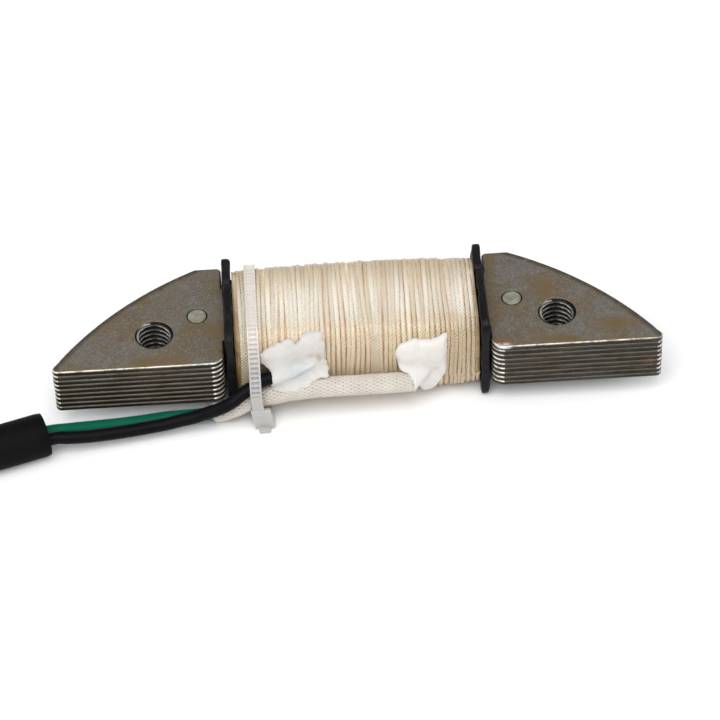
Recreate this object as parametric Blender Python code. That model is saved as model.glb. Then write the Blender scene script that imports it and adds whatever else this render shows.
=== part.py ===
"""Source coil of a small engine's magneto, lying on its winding cheeks.

A one-piece stack of steel laminations forms two quarter-moon pole shoes joined by a neck. A split
nylon bobbin closes round the neck and carries the magnet wire, a film and a varnished thread cover.
The two ends of the winding are joined to a black and a green lead under dabs of silicone, and a cable
tie holds the leads and a braided sleeve to the winding. The leads run through a PVC sheath to their
bullet terminals.

Every solid is written in the core's own axes: X along the coil, Y from the straight front of the
poles to their arched rear, Z up from the underside of the stack. One empty carries them all to the
part's frame, whose origin is under the middle of the coil, on the surface that it lies on.
"""

import math

import bmesh
import bpy
from mathutils import Vector

MM = 0.001

# Core.
SHEETS = 9
STACK_HEIGHT = 9.0 * MM
FILM = 0.11 * MM  # oxide and varnish between two sheets
SHEET_PITCH = (STACK_HEIGHT + FILM) / SHEETS
SHEET_THICKNESS = SHEET_PITCH - FILM
POLE_INNER_X = 21.95 * MM
POLE_CORNER_X = 26.15 * MM  # where the straight rear edge turns into the arch
POLE_REAR_Y = 22.25 * MM
POLE_TIP_X = 49.87 * MM
ARCH_RADIUS = 58.9 * MM  # concentric with the flywheel
ARCH_CENTRE_Y = -30.4 * MM
TIP_RADIUS = 0.9 * MM
INNER_CORNER_RADIUS = 2.2 * MM
REAR_CORNER_RADIUS = 0.8 * MM
NECK_FRONT_Y = 5.0 * MM
NECK_REAR_Y = 17.6 * MM
SCREW_HOLE_X = 33.15 * MM
SCREW_HOLE_Y = 7.4 * MM
SCREW_HOLE_RADIUS = 2.6 * MM  # M6 thread, at its minor diameter
RIVET_X = 26.0 * MM
RIVET_Y = 11.3 * MM
RIVET_RADIUS = 1.6 * MM
RIVET_HOLE_RADIUS = 1.75 * MM
RIVET_CHAMFER = 0.15 * MM

# Bobbin.
GAP = 0.3 * MM
COIL_CENTRE_Y = 11.3 * MM
COIL_CENTRE_Z = 4.6 * MM
CHEEK_HALF_DEPTH = 10.2 * MM
CHEEK_HALF_HEIGHT = 8.5 * MM
CHEEK_CORNER = 1.9 * MM
TUBE_CORNER = 0.4 * MM
CHEEK_OUTER_X = POLE_INNER_X - GAP
CHEEK_INNER_X = CHEEK_OUTER_X - 1.5 * MM
BORE_GAP = 0.2 * MM  # bobbin to core, all round the neck
TUBE_WALL = 0.8 * MM
SPLIT_FRONT_Y = 14.95 * MM
SPLIT_REAR_Y = SPLIT_FRONT_Y + GAP

# Winding: each layer is a ring round the bobbin's tube.
WINDING_END_X = CHEEK_INNER_X - GAP
END_HALF_DEPTH = 9.45 * MM  # of the thread cover, beside the cheeks
END_HALF_HEIGHT = 7.5 * MM
DEPTH_BULGE = 0.35 * MM  # how much more it measures in the middle of its length
HEIGHT_BULGE = 0.4 * MM
BULGE_POWER = 2.5
COVER_CORNER = 4.2 * MM
COVER_THICKNESS = 0.5 * MM
FILM_THICKNESS = 0.2 * MM
LAYER_GAP = 0.1 * MM
WINDING_BORE_CORNER = 0.5 * MM
BULGE_STATIONS = 9

# Leads, sleeve and sheath.
LEAD_RADIUS = 1.08 * MM
SLEEVE_RADIUS = 1.7 * MM
SLEEVE_BORE_RADIUS = 1.4 * MM
SHEATH_RADIUS = 3.65 * MM
MAGNET_WIRE_RADIUS = 0.35 * MM
SPLICE_RADIUS = 0.8 * MM
SPLICE_TAPER = 0.4 * MM
CORD_SIDES_RESOLUTION = 2
CURVE_STEPS = 20  # between two points of a route, before its length is shared out evenly

# Cable tie.
TIE_X = -17.0 * MM
TIE_WIDTH = 1.9 * MM
TIE_THICKNESS = 0.62 * MM
TIE_GAP = 0.18 * MM
TIE_HEAD_X = -16.3 * MM
TIE_HEAD_WIDTH = 3.5 * MM
TIE_TAIL_Y = -4.1 * MM
TIE_SLANT_TOP = 3.0 * MM  # below this height the strap slants towards its head
TIE_SLANT_HEIGHT = 6.0 * MM

# Silicone dabs.
LEFT_DAB_THICKNESS = 2.9 * MM
RIGHT_DAB_THICKNESS = 2.2 * MM
DAB_LIFT = 0.2 * MM  # of the underside, off the thread cover
# Rings from the edge inwards: share of the way out, and share of the thickness.
DAB_PROFILE = [(1.0, 0.3), (0.93, 0.62), (0.75, 0.9), (0.42, 1.0)]
DAB_UNDERSIDE = [1.0, 0.75, 0.42]

# Bullet terminals and their boots.
CRIMP_LENGTH = 5.0 * MM
CRIMP_RADIUS = 1.7 * MM
TERMINAL_NECK_LENGTH = 1.2 * MM
TERMINAL_NECK_RADIUS = 1.2 * MM
PIN_LENGTH = 8.0 * MM
PIN_RADIUS = 1.95 * MM
PIN_TIP_RADIUS = 0.7 * MM
PIN_TAPER_LENGTH = 1.6 * MM
TERMINAL_CHAMFER = 0.3 * MM
BOOT_LENGTH = 12.0 * MM
BOOT_OVERLAP = 2.5 * MM  # on the lead
BOOT_RADIUS = 2.55 * MM
BOOT_BORE_RADIUS = 2.25 * MM

# The part's frame: the floor is under the cheeks, and the origin is under the middle of the coil.
FLOOR_Z = COIL_CENTRE_Z - CHEEK_HALF_HEIGHT
MIDDLE_Y = (POLE_REAR_Y + TIE_TAIL_Y) / 2

# Cord routes, in mm in the core's axes: centre lines on the floor, at Z -3.9 plus the cord's radius,
# unless the coil or the sheath's wall holds them higher.
BLACK_ROUTE = [
    (-13.9, 0.15, 4.75),
    (-15.6, 0.05, 4.5),
    (-17.0, -0.55, 3.95),
    (-18.6, -1.3, 3.45),
    (-20.5, -2.3, 2.55),
    (-21.5, -2.7, 2.1),
    (-22.8, -2.8, 1.4),
    (-24.0, -2.65, 0.7),
    (-25.6, -2.5, -0.05),
    (-27.4, -2.6, -0.6),
    (-29.7, -2.8, -0.95),
    (-32.2, -3.15, -1.25),
    (-36.7, -3.95, -1.25),
    (-41.2, -4.7, -1.1),
    (-45.0, -5.25, -0.85),
    (-48.0, -5.6, -0.5),
    (-50.7, -5.85, -0.25),
]
GREEN_ROUTE = [
    (-14.0, -0.25, 1.35),
    (-16.4, -0.2, 0.85),
    (-18.9, -0.6, 0.2),
    (-20.4, -0.8, -0.4),
    (-21.6, -0.75, -1.0),
    (-22.8, -0.5, -1.7),
    (-23.9, -0.25, -2.12),
    (-26.0, -0.15, -2.55),
    (-29.7, -0.2, -2.7),
    (-32.2, -0.3, -2.7),
    (-36.7, -1.05, -2.5),
    (-41.2, -1.75, -2.15),
    (-45.0, -2.35, -1.75),
    (-48.4, -2.95, -1.35),
    (-51.3, -3.5, -1.05),
]
SLEEVE_ROUTE = [
    (9.2, -0.3, 2.5),
    (6.0, -0.35, 2.5),
    (2.0, -0.4, 2.5),
    (-3.0, -0.4, 2.5),
    (-7.0, -0.38, 2.45),
    (-10.0, -0.35, 2.2),
    (-12.2, -0.3, 1.8),
] + GREEN_ROUTE[:7]
FINISH_WIRE_ROUTE = [
    (11.4, 0.65, 3.6),
    (9.6, -0.1, 2.8),
    (7.5, -0.33, 2.5),
    (2.0, -0.4, 2.5),
    (-3.0, -0.4, 2.5),
    (-7.0, -0.38, 2.45),
    (-9.4, -0.36, 2.26),
]
START_WIRE_ROUTE = [
    (-7.6, 0.8, 6.5),
    (-9.0, 0.5, 6.05),
    (-10.4, 0.3, 5.6),
]
SHEATH_ROUTE = [
    (-51.7, -4.68, -0.25),
    (-55.0, -5.75, -0.25),
    (-58.7, -6.95, -0.25),
    (-63.0, -8.15, -0.25),
    (-68.0, -9.2, -0.25),
    (-74.0, -9.95, -0.25),
    (-81.0, -10.25, -0.25),
    (-88.0, -10.05, -0.25),
    (-95.0, -9.5, -0.25),
    (-102.0, -8.7, -0.25),
    (-109.0, -7.9, -0.25),
    (-116.0, -7.3, -0.25),
    (-121.5, -7.1, -0.25),
]
BLACK_TAIL_ROUTE = [
    (-121.9, -8.5, -0.9),
    (-125.0, -9.0, -1.5),
    (-129.0, -10.0, -2.1),
    (-133.5, -11.0, -2.2),
    (-138.0, -11.5, -1.8),
    (-141.5, -11.6, -1.35),
]
GREEN_TAIL_ROUTE = [
    (-121.9, -5.7, -0.9),
    (-125.0, -5.1, -1.5),
    (-129.0, -4.1, -2.1),
    (-133.5, -3.1, -2.2),
    (-138.0, -2.6, -1.8),
    (-141.5, -2.5, -1.35),
]

TIE_OVER_LEADS = [  # Y and Z of the strap, from its head up over the sleeve and the black lead
    (-2.65, -1.5),
    (-2.7, -0.3),
    (-2.8, 1.2),
    (-2.8, 2.9),
    (-2.65, 4.1),
    (-2.1, 5.15),
    (-1.1, 6.15),
    (-0.15, 7.3),
]
TIE_UNDERNEATH = [4.0, 0.5]  # Y of the strap under the coil, before its cut end
TIE_HEAD_OUTLINE = [  # Y and Z, anticlockwise from the rear foot of the head, above the floor
    (0.3, 0.2),
    (0.3, 2.13),
    (-1.5, 2.13),
    (-2.28, 2.98),
    (-2.38, 4.28),
    (-3.1, 4.28),
    (-3.2, 2.88),
    (-3.2, 0.4),
    (-3.0, 0.2),
]
TIE_HEAD_LIFT = 0.02 * MM

# Edges of the silicone dabs: X, and the height measured along the skin of the winding, in mm.
LEFT_DAB_EDGE = [
    (-14.7, 5.6), (-16.0, 7.4), (-16.0, 8.9), (-14.6, 10.1), (-12.3, 11.1), (-10.4, 10.6), (-9.3, 11.8),
    (-6.7, 12.6), (-5.5, 12.0), (-5.5, 9.4), (-5.3, 6.6), (-5.0, 4.6), (-6.9, 4.3), (-10.0, 4.2),
    (-13.6, 4.0),
]
RIGHT_DAB_EDGE = [
    (6.2, 8.0), (6.7, 9.3), (8.3, 10.0), (10.8, 10.2), (14.3, 10.5), (14.5, 8.4), (14.3, 5.4),
    (13.3, 2.4), (11.6, 0.4), (10.0, -0.2), (9.6, 1.6), (7.9, 4.4), (6.5, 5.4),
]


def clear_scene():
    for obj in list(bpy.data.objects):
        bpy.data.objects.remove(obj, do_unlink=True)


def make_material(name, colour, roughness, metallic=0.0):
    material = bpy.data.materials.new(name)
    material.use_nodes = True
    shader = material.node_tree.nodes["Principled BSDF"]
    shader.inputs["Base Color"].default_value = (*colour, 1.0)
    shader.inputs["Roughness"].default_value = roughness
    shader.inputs["Metallic"].default_value = metallic
    return material


def make_frame():
    """The empty that carries the core's axes to the part's frame."""
    frame = bpy.data.objects.new("coil_frame", None)
    frame.location = (0.0, -MIDDLE_Y, -FLOOR_Z)
    bpy.context.scene.collection.objects.link(frame)
    return frame


def add_object(name, data, material, frame):
    obj = bpy.data.objects.new(name, data)
    data.materials.append(material)
    obj.parent = frame
    bpy.context.scene.collection.objects.link(obj)
    return obj


def add_mesh(name, bm, material, frame, smooth_angle=35.0):
    bmesh.ops.recalc_face_normals(bm, faces=bm.faces)
    mesh = bpy.data.meshes.new(name)
    bm.to_mesh(mesh)
    bm.free()
    mesh.shade_smooth()
    mesh.set_sharp_from_angle(angle=math.radians(smooth_angle))
    return add_object(name, mesh, material, frame)


def arc(centre, radius, start, end, segments):
    """Points of an arc, angles in degrees, both ends included."""
    points = []
    for step in range(segments + 1):
        angle = math.radians(start + (end - start) * step / segments)
        points.append((centre[0] + radius * math.cos(angle), centre[1] + radius * math.sin(angle)))
    return points


def rounded_rectangle(centre, half_width, half_height, corner, segments=5):
    """Outline anticlockwise from the lower right corner."""
    inner_x = half_width - corner
    inner_y = half_height - corner
    points = []
    for x, y, start in (
        (inner_x, -inner_y, -90),
        (inner_x, inner_y, 0),
        (-inner_x, inner_y, 90),
        (-inner_x, -inner_y, 180),
    ):
        points += arc((centre[0] + x, centre[1] + y), corner, start, start + 90, segments)
    return points


def smooth_route(route, spacing):
    """Points every spacing along a Catmull-Rom curve through the route's points, in metres."""
    knots = [Vector(point) * MM for point in route]
    knots = [2 * knots[0] - knots[1]] + knots + [2 * knots[-1] - knots[-2]]
    fine = []
    for before, start, end, after in zip(knots, knots[1:], knots[2:], knots[3:]):
        for step in range(CURVE_STEPS):
            t = step / CURVE_STEPS
            fine.append(
                0.5
                * (
                    2 * start
                    + (end - before) * t
                    + (2 * before - 5 * start + 4 * end - after) * t * t
                    + (3 * start - before - 3 * end + after) * t ** 3
                )
            )
    fine.append(knots[-2])
    lengths = [0.0]
    for a, b in zip(fine, fine[1:]):
        lengths.append(lengths[-1] + (b - a).length)
    count = max(3, round(lengths[-1] / spacing))
    points = []
    index = 0
    for step in range(count + 1):
        wanted = lengths[-1] * step / count
        while index < len(fine) - 2 and lengths[index + 1] < wanted:
            index += 1
        run = lengths[index + 1] - lengths[index]
        points.append(fine[index].lerp(fine[index + 1], (wanted - lengths[index]) / run))
    return points


def add_cord(name, route, radius, material, frame):
    """A plain tube along a route: a poly curve with a bevel and filled caps."""
    points = smooth_route(route, 5 * radius)
    curve = bpy.data.curves.new(name, "CURVE")
    curve.dimensions = "3D"
    curve.bevel_depth = radius
    curve.bevel_resolution = CORD_SIDES_RESOLUTION
    curve.use_fill_caps = True
    spline = curve.splines.new("POLY")
    spline.points.add(len(points) - 1)
    for spline_point, point in zip(spline.points, points):
        spline_point.co = (*point, 1.0)
    return add_object(name, curve, material, frame)


def sweep_frames(points, first_side=Vector((0.0, 0.0, 1.0))):
    """A side and an up direction at each point of a path, turned as little as possible."""
    frames = []
    side = first_side
    for index, point in enumerate(points):
        ahead = points[min(index + 1, len(points) - 1)]
        behind = points[max(index - 1, 0)]
        along = (ahead - behind).normalized()
        side = (side - along * side.dot(along)).normalized()
        frames.append((side, along.cross(side)))
    return frames


def add_open_tube(name, points, radius, bore_radius, material, frame, sides=12):
    """A sleeve with a wall and two open ends, along a list of points."""
    bm = bmesh.new()
    rings = []
    for point, (side, up) in zip(points, sweep_frames(points)):
        for ring_radius in (radius, bore_radius):
            ring = []
            for corner in range(sides):
                angle = 2 * math.pi * corner / sides
                offset = side * math.cos(angle) + up * math.sin(angle)
                ring.append(bm.verts.new(point + offset * ring_radius))
            rings.append(ring)
    outer_rings = rings[0::2]
    bore_rings = rings[1::2]
    for group in (outer_rings, bore_rings):
        for ring, following in zip(group, group[1:]):
            join_rings(bm, ring, following)
    join_rings(bm, outer_rings[0], bore_rings[0])
    join_rings(bm, outer_rings[-1], bore_rings[-1])
    return add_mesh(name, bm, material, frame)


def join_rings(bm, ring, following):
    count = len(ring)
    for index in range(count):
        after = (index + 1) % count
        bm.faces.new((ring[index], ring[after], following[after], following[index]))


def add_turned(name, profile, origin, along, material, frame, sides=16):
    """A solid of revolution. The profile's (distance along, radius) pairs start and end on the axis."""
    bm = bmesh.new()
    side = along.orthogonal().normalized()
    up = along.cross(side)
    rings = []
    for distance, radius in profile[1:-1]:
        ring = []
        for corner in range(sides):
            angle = 2 * math.pi * corner / sides
            offset = side * math.cos(angle) + up * math.sin(angle)
            ring.append(bm.verts.new(origin + along * distance + offset * radius))
        rings.append(ring)
    for ring, following in zip(rings, rings[1:]):
        join_rings(bm, ring, following)
    bm.faces.new(rings[0])
    bm.faces.new(rings[-1])
    return add_mesh(name, bm, material, frame)


# ---------------------------------------------------------------- core


def pole_outline(side):
    """One pole shoe from its front inner corner round its tip to its rear inner corner.

    side is 1 for the right pole and -1 for the left one.
    """
    corner = INNER_CORNER_RADIUS
    points = arc((POLE_INNER_X + corner, corner), corner, 180, 270, 5)
    # The rounded tip lies between the straight front edge and the arch.
    tip_centre_x = POLE_TIP_X - TIP_RADIUS
    tip_end_angle = 40.0
    points += arc((tip_centre_x, TIP_RADIUS), TIP_RADIUS, 270, 360 + tip_end_angle, 5)
    start = math.atan2(POLE_REAR_Y - ARCH_CENTRE_Y, POLE_CORNER_X)
    tip_top_y = TIP_RADIUS + TIP_RADIUS * math.sin(math.radians(tip_end_angle))
    end = math.asin((tip_top_y - ARCH_CENTRE_Y) / ARCH_RADIUS)
    points += arc((0.0, ARCH_CENTRE_Y), ARCH_RADIUS, math.degrees(end), math.degrees(start), 14)[1:]
    rear = REAR_CORNER_RADIUS
    points += arc((POLE_INNER_X + rear, POLE_REAR_Y - rear), rear, 90, 180, 3)
    return [(side * x, y) for x, y in points]


def fill_region(bm, loops):
    """Flat triangles between an outline and the holes in it, from loops of vertices."""
    edges = []
    for loop in loops:
        for vertex, following in zip(loop, loop[1:] + loop[:1]):
            edge = bm.edges.get((vertex, following)) or bm.edges.new((vertex, following))
            edges.append(edge)
    bmesh.ops.triangle_fill(bm, use_beauty=True, edges=edges, normal=(0.0, 0.0, 1.0))


def flat_loop(bm, points, height):
    return [bm.verts.new((x, y, height)) for x, y in points]


def add_lamination(index, material, frame):
    """One punched sheet: both poles and the neck between them, with two screw and two rivet holes."""
    bm = bmesh.new()
    height = index * SHEET_PITCH
    neck_ends = {}
    for side in (-1, 1):
        outline = flat_loop(bm, pole_outline(side), height)
        x = side * POLE_INNER_X
        neck_rear = bm.verts.new((x, NECK_REAR_Y, height))
        neck_front = bm.verts.new((x, NECK_FRONT_Y, height))
        neck_ends[side] = (neck_front, neck_rear)
        screw_hole = arc((side * SCREW_HOLE_X, SCREW_HOLE_Y), SCREW_HOLE_RADIUS, 0, 360, 20)[:-1]
        rivet_hole = arc((side * RIVET_X, RIVET_Y), RIVET_HOLE_RADIUS, 0, 360, 14)[:-1]
        holes = [flat_loop(bm, screw_hole, height), flat_loop(bm, rivet_hole, height)]
        fill_region(bm, [outline + [neck_rear, neck_front]] + holes)
    left_front, left_rear = neck_ends[-1]
    right_front, right_rear = neck_ends[1]
    bm.faces.new((left_front, right_front, right_rear, left_rear))
    extruded = bmesh.ops.extrude_face_region(bm, geom=bm.faces[:])["geom"]
    raised = [item for item in extruded if isinstance(item, bmesh.types.BMVert)]
    bmesh.ops.translate(bm, verts=raised, vec=(0.0, 0.0, SHEET_THICKNESS))
    return add_mesh(f"lamination_{index + 1}", bm, material, frame)


def add_rivet(name, side, material, frame):
    flat = RIVET_RADIUS - RIVET_CHAMFER
    profile = [
        (0.0, 0.0),
        (0.0, flat),
        (RIVET_CHAMFER, RIVET_RADIUS),
        (STACK_HEIGHT - RIVET_CHAMFER, RIVET_RADIUS),
        (STACK_HEIGHT, flat),
        (STACK_HEIGHT, 0.0),
    ]
    origin = Vector((side * RIVET_X, RIVET_Y, 0.0))
    return add_turned(name, profile, origin, Vector((0.0, 0.0, 1.0)), material, frame)


# ---------------------------------------------------------------- bobbin and winding


def extrude_along_x(bm, outline, start, end):
    """A prism between two X stations, with its (Y, Z) outline as given."""
    near = [bm.verts.new((start, y, z)) for y, z in outline]
    far = [bm.verts.new((end, y, z)) for y, z in outline]
    join_rings(bm, near, far)
    bm.faces.new(near)
    bm.faces.new(far)


def bobbin_half_outline(centre_z, half_depth, half_height, corner, split_y, towards):
    """A channel in Y and Z that opens at the split line. towards is -1 for the front half."""
    outer_y = COIL_CENTRE_Y + towards * half_depth
    top = centre_z + half_height
    bottom = centre_z - half_height
    bore_top = STACK_HEIGHT + BORE_GAP
    bore_bottom = -BORE_GAP
    bore_y = NECK_FRONT_Y - BORE_GAP if towards < 0 else NECK_REAR_Y + BORE_GAP
    upper = arc((outer_y - towards * corner, top - corner), corner, 90, 90 - towards * 90, 4)
    lower = arc((outer_y - towards * corner, bottom + corner), corner, 270 + towards * 90, 270, 4)
    outline = [(split_y, top)] + upper + lower + [(split_y, bottom)]
    outline += [(split_y, bore_bottom), (bore_y, bore_bottom), (bore_y, bore_top), (split_y, bore_top)]
    return outline


def bobbin_half_sections(split_y, towards):
    """The channel of the tube and the wider channel of the cheeks, with matching bores."""
    tube_half_depth = (NECK_REAR_Y - NECK_FRONT_Y) / 2 + BORE_GAP + TUBE_WALL
    tube_half_height = STACK_HEIGHT / 2 + BORE_GAP + TUBE_WALL
    tube = bobbin_half_outline(
        STACK_HEIGHT / 2,
        tube_half_depth,
        tube_half_height,
        TUBE_CORNER,
        split_y,
        towards,
    )
    cheek = bobbin_half_outline(
        COIL_CENTRE_Z,
        CHEEK_HALF_DEPTH,
        CHEEK_HALF_HEIGHT,
        CHEEK_CORNER,
        split_y,
        towards,
    )
    return tube, cheek


def add_bobbin_half(name, split_y, towards, material, frame):
    """Tube wall and two cheeks as one channel: the outline widens and narrows along X."""
    tube, cheek = bobbin_half_sections(split_y, towards)
    stations = [
        (-CHEEK_OUTER_X, cheek),
        (-CHEEK_INNER_X, cheek),
        (-CHEEK_INNER_X, tube),
        (CHEEK_INNER_X, tube),
        (CHEEK_INNER_X, cheek),
        (CHEEK_OUTER_X, cheek),
    ]
    bm = bmesh.new()
    rings = []
    for x, outline in stations:
        rings.append([bm.verts.new((x, y, z)) for y, z in outline])
    for ring, following in zip(rings, rings[1:]):
        join_rings(bm, ring, following)
    bm.faces.new(rings[0])
    bm.faces.new(rings[-1])
    # The bore runs straight through, so the rings of one station share its corners.
    bmesh.ops.remove_doubles(bm, verts=bm.verts, dist=0.001 * MM)
    return add_mesh(name, bm, material, frame)


def bulge(x):
    """1 in the middle of the winding, 0 beside the cheeks."""
    return 1.0 - (abs(x) / WINDING_END_X) ** BULGE_POWER


def cover_half_sizes(x):
    return END_HALF_DEPTH + DEPTH_BULGE * bulge(x), END_HALF_HEIGHT + HEIGHT_BULGE * bulge(x)


def ring_outline(x, depth_below_skin, bulging=True):
    half_depth, half_height = cover_half_sizes(x) if bulging else (END_HALF_DEPTH, END_HALF_HEIGHT)
    return rounded_rectangle(
        (COIL_CENTRE_Y, COIL_CENTRE_Z),
        half_depth - depth_below_skin,
        half_height - depth_below_skin,
        COVER_CORNER - depth_below_skin,
    )


def bore_outline():
    """Outline that clears the bobbin's tube."""
    clear = BORE_GAP + TUBE_WALL + BORE_GAP
    return rounded_rectangle(
        (COIL_CENTRE_Y, STACK_HEIGHT / 2),
        (NECK_REAR_Y - NECK_FRONT_Y) / 2 + clear,
        STACK_HEIGHT / 2 + clear,
        WINDING_BORE_CORNER,
    )


def add_layer(name, outer, bore, stations, material, frame):
    """A ring round the neck. outer and bore give an outline for each X station."""
    bm = bmesh.new()
    outer_rings = []
    bore_rings = []
    for x in stations:
        outer_rings.append([bm.verts.new((x, y, z)) for y, z in outer(x)])
        bore_rings.append([bm.verts.new((x, y, z)) for y, z in bore(x)])
    for group in (outer_rings, bore_rings):
        for ring, following in zip(group, group[1:]):
            join_rings(bm, ring, following)
    join_rings(bm, outer_rings[0], bore_rings[0])
    join_rings(bm, outer_rings[-1], bore_rings[-1])
    return add_mesh(name, bm, material, frame)


def add_winding(materials, frame):
    ends = [-WINDING_END_X, WINDING_END_X]
    stations = []
    for step in range(BULGE_STATIONS):
        stations.append(WINDING_END_X * (2 * step / (BULGE_STATIONS - 1) - 1))
    film_top = COVER_THICKNESS + LAYER_GAP
    wire_top = film_top + FILM_THICKNESS + LAYER_GAP
    add_layer(
        "magnet_wire_winding",
        lambda x: ring_outline(x, wire_top, bulging=False),
        lambda x: bore_outline(),
        ends,
        materials["enamel_copper"],
        frame,
    )
    add_layer(
        "insulating_film",
        lambda x: ring_outline(x, film_top, bulging=False),
        lambda x: ring_outline(x, film_top + FILM_THICKNESS, bulging=False),
        ends,
        materials["amber_film"],
        frame,
    )
    add_layer(
        "thread_cover",
        lambda x: ring_outline(x, 0.0),
        lambda x: ring_outline(x, COVER_THICKNESS, bulging=False),
        stations,
        materials["varnished_thread"],
        frame,
    )


def skin_point(x, height, lift):
    """A point over the front of the winding, its height measured along the skin from below."""
    half_depth, half_height = cover_half_sizes(x)
    flat = half_height - COVER_CORNER
    rise = height - COIL_CENTRE_Z
    front_y = COIL_CENTRE_Y - half_depth
    if abs(rise) <= flat:
        return Vector((x, front_y - lift, height))
    turn = (abs(rise) - flat) / COVER_CORNER
    reach = COVER_CORNER + lift
    y = front_y + COVER_CORNER - reach * math.cos(turn)
    z = COIL_CENTRE_Z + math.copysign(flat + reach * math.sin(turn), rise)
    return Vector((x, y, z))


# ---------------------------------------------------------------- leads, dabs and tie


def add_dab(name, edge, thickness, cutters, material, frame):
    """A dab of silicone: rings shrink from its ragged edge to its middle while it swells."""
    points = [(x * MM, height * MM) for x, height in edge]
    middle_x = sum(x for x, height in points) / len(points)
    middle_height = sum(height for x, height in points) / len(points)
    bm = bmesh.new()

    def shrunk_ring(share, lift):
        ring = []
        for x, height in points:
            ring_x = middle_x + (x - middle_x) * share
            ring_height = middle_height + (height - middle_height) * share
            ring.append(bm.verts.new(skin_point(ring_x, ring_height, lift)))
        return ring

    rings = [shrunk_ring(share, DAB_LIFT + lift * thickness) for share, lift in DAB_PROFILE]
    for ring, following in zip(rings, rings[1:]):
        join_rings(bm, ring, following)
    top = bm.verts.new(skin_point(middle_x, middle_height, DAB_LIFT + thickness))
    under_rings = [shrunk_ring(share, DAB_LIFT) for share in DAB_UNDERSIDE]
    bottom = bm.verts.new(skin_point(middle_x, middle_height, DAB_LIFT))
    join_rings(bm, rings[0], under_rings[0])
    for ring, following in zip(under_rings, under_rings[1:]):
        join_rings(bm, ring, following)
    for centre, ring in ((top, rings[-1]), (bottom, under_rings[-1])):
        for vertex, following in zip(ring, ring[1:] + ring[:1]):
            bm.faces.new((vertex, following, centre))
    dab = add_mesh(name, bm, material, frame)
    for cutter in cutters:
        cut = dab.modifiers.new("cut_" + cutter.name, "BOOLEAN")
        cut.operation = "DIFFERENCE"
        cut.object = cutter
    return dab


def add_cutter(name, stations, material, frame, sides=12):
    """A closed rod through (point, radius) stations, which clears a cord from a dab."""
    bm = bmesh.new()
    points = [point for point, radius in stations]
    rings = []
    for (point, radius), (side, up) in zip(stations, sweep_frames(points)):
        ring = []
        for corner in range(sides):
            angle = 2 * math.pi * corner / sides
            offset = side * math.cos(angle) + up * math.sin(angle)
            ring.append(bm.verts.new(point + offset * radius))
        rings.append(ring)
    for ring, following in zip(rings, rings[1:]):
        join_rings(bm, ring, following)
    bm.faces.new(rings[0])
    bm.faces.new(rings[-1])
    cutter = add_mesh(name, bm, material, frame)
    cutter.hide_render = True
    cutter.display_type = "WIRE"
    return cutter


def add_splice(name, start, end, material, frame):
    """A soldered joint between a magnet wire and a lead."""
    run = (end - start).length
    profile = [
        (0.0, 0.0),
        (0.0, SPLICE_RADIUS - SPLICE_TAPER),
        (SPLICE_TAPER, SPLICE_RADIUS),
        (run - SPLICE_TAPER, SPLICE_RADIUS),
        (run, SPLICE_RADIUS - SPLICE_TAPER),
        (run, 0.0),
    ]
    return add_turned(name, profile, start, (end - start).normalized(), material, frame, sides=10)


def add_silicone(materials, frame):
    """The dabs, with ways cut through them for the lead, the splice, the wires and the sleeve."""
    material = materials["silicone"]
    wire_way = MAGNET_WIRE_RADIUS + GAP
    # Each wire's way starts a little before the wire does.
    lead_way = [(Vector(START_WIRE_ROUTE[0]) + Vector((0.5, 0.1, 0.15)), wire_way)]
    lead_way += [(Vector(point), wire_way) for point in START_WIRE_ROUTE]
    splice_start = Vector(START_WIRE_ROUTE[-1])
    splice_end = Vector(BLACK_ROUTE[0])
    lead_way.append((splice_start.lerp(splice_end, 0.02), SPLICE_RADIUS + GAP))
    lead_way.append((splice_start.lerp(splice_end, 0.9), SPLICE_RADIUS + GAP))
    lead_way += [(Vector(point), LEAD_RADIUS + GAP) for point in BLACK_ROUTE[:5]]
    lead_way = [(point * MM, radius) for point, radius in lead_way]
    sleeve_way = [(point, SLEEVE_RADIUS + GAP) for point in smooth_route(SLEEVE_ROUTE, 3 * SLEEVE_RADIUS)]
    finish_way = [(point, wire_way) for point in smooth_route(FINISH_WIRE_ROUTE[:4], 2 * MM)]
    finish_start = finish_way[0][0] + Vector((0.5, 0.2, 0.2)) * MM
    finish_way = [(finish_start, wire_way)] + finish_way
    lead_cutter = add_cutter("black_lead_way", lead_way, material, frame)
    sleeve_cutter = add_cutter("sleeve_way", sleeve_way, material, frame)
    finish_cutter = add_cutter("finish_wire_way", finish_way, material, frame)
    left_cutters = [lead_cutter, sleeve_cutter]
    right_cutters = [sleeve_cutter, finish_cutter]
    add_dab("silicone_left", LEFT_DAB_EDGE, LEFT_DAB_THICKNESS, left_cutters, material, frame)
    add_dab("silicone_right", RIGHT_DAB_EDGE, RIGHT_DAB_THICKNESS, right_cutters, material, frame)


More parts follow.
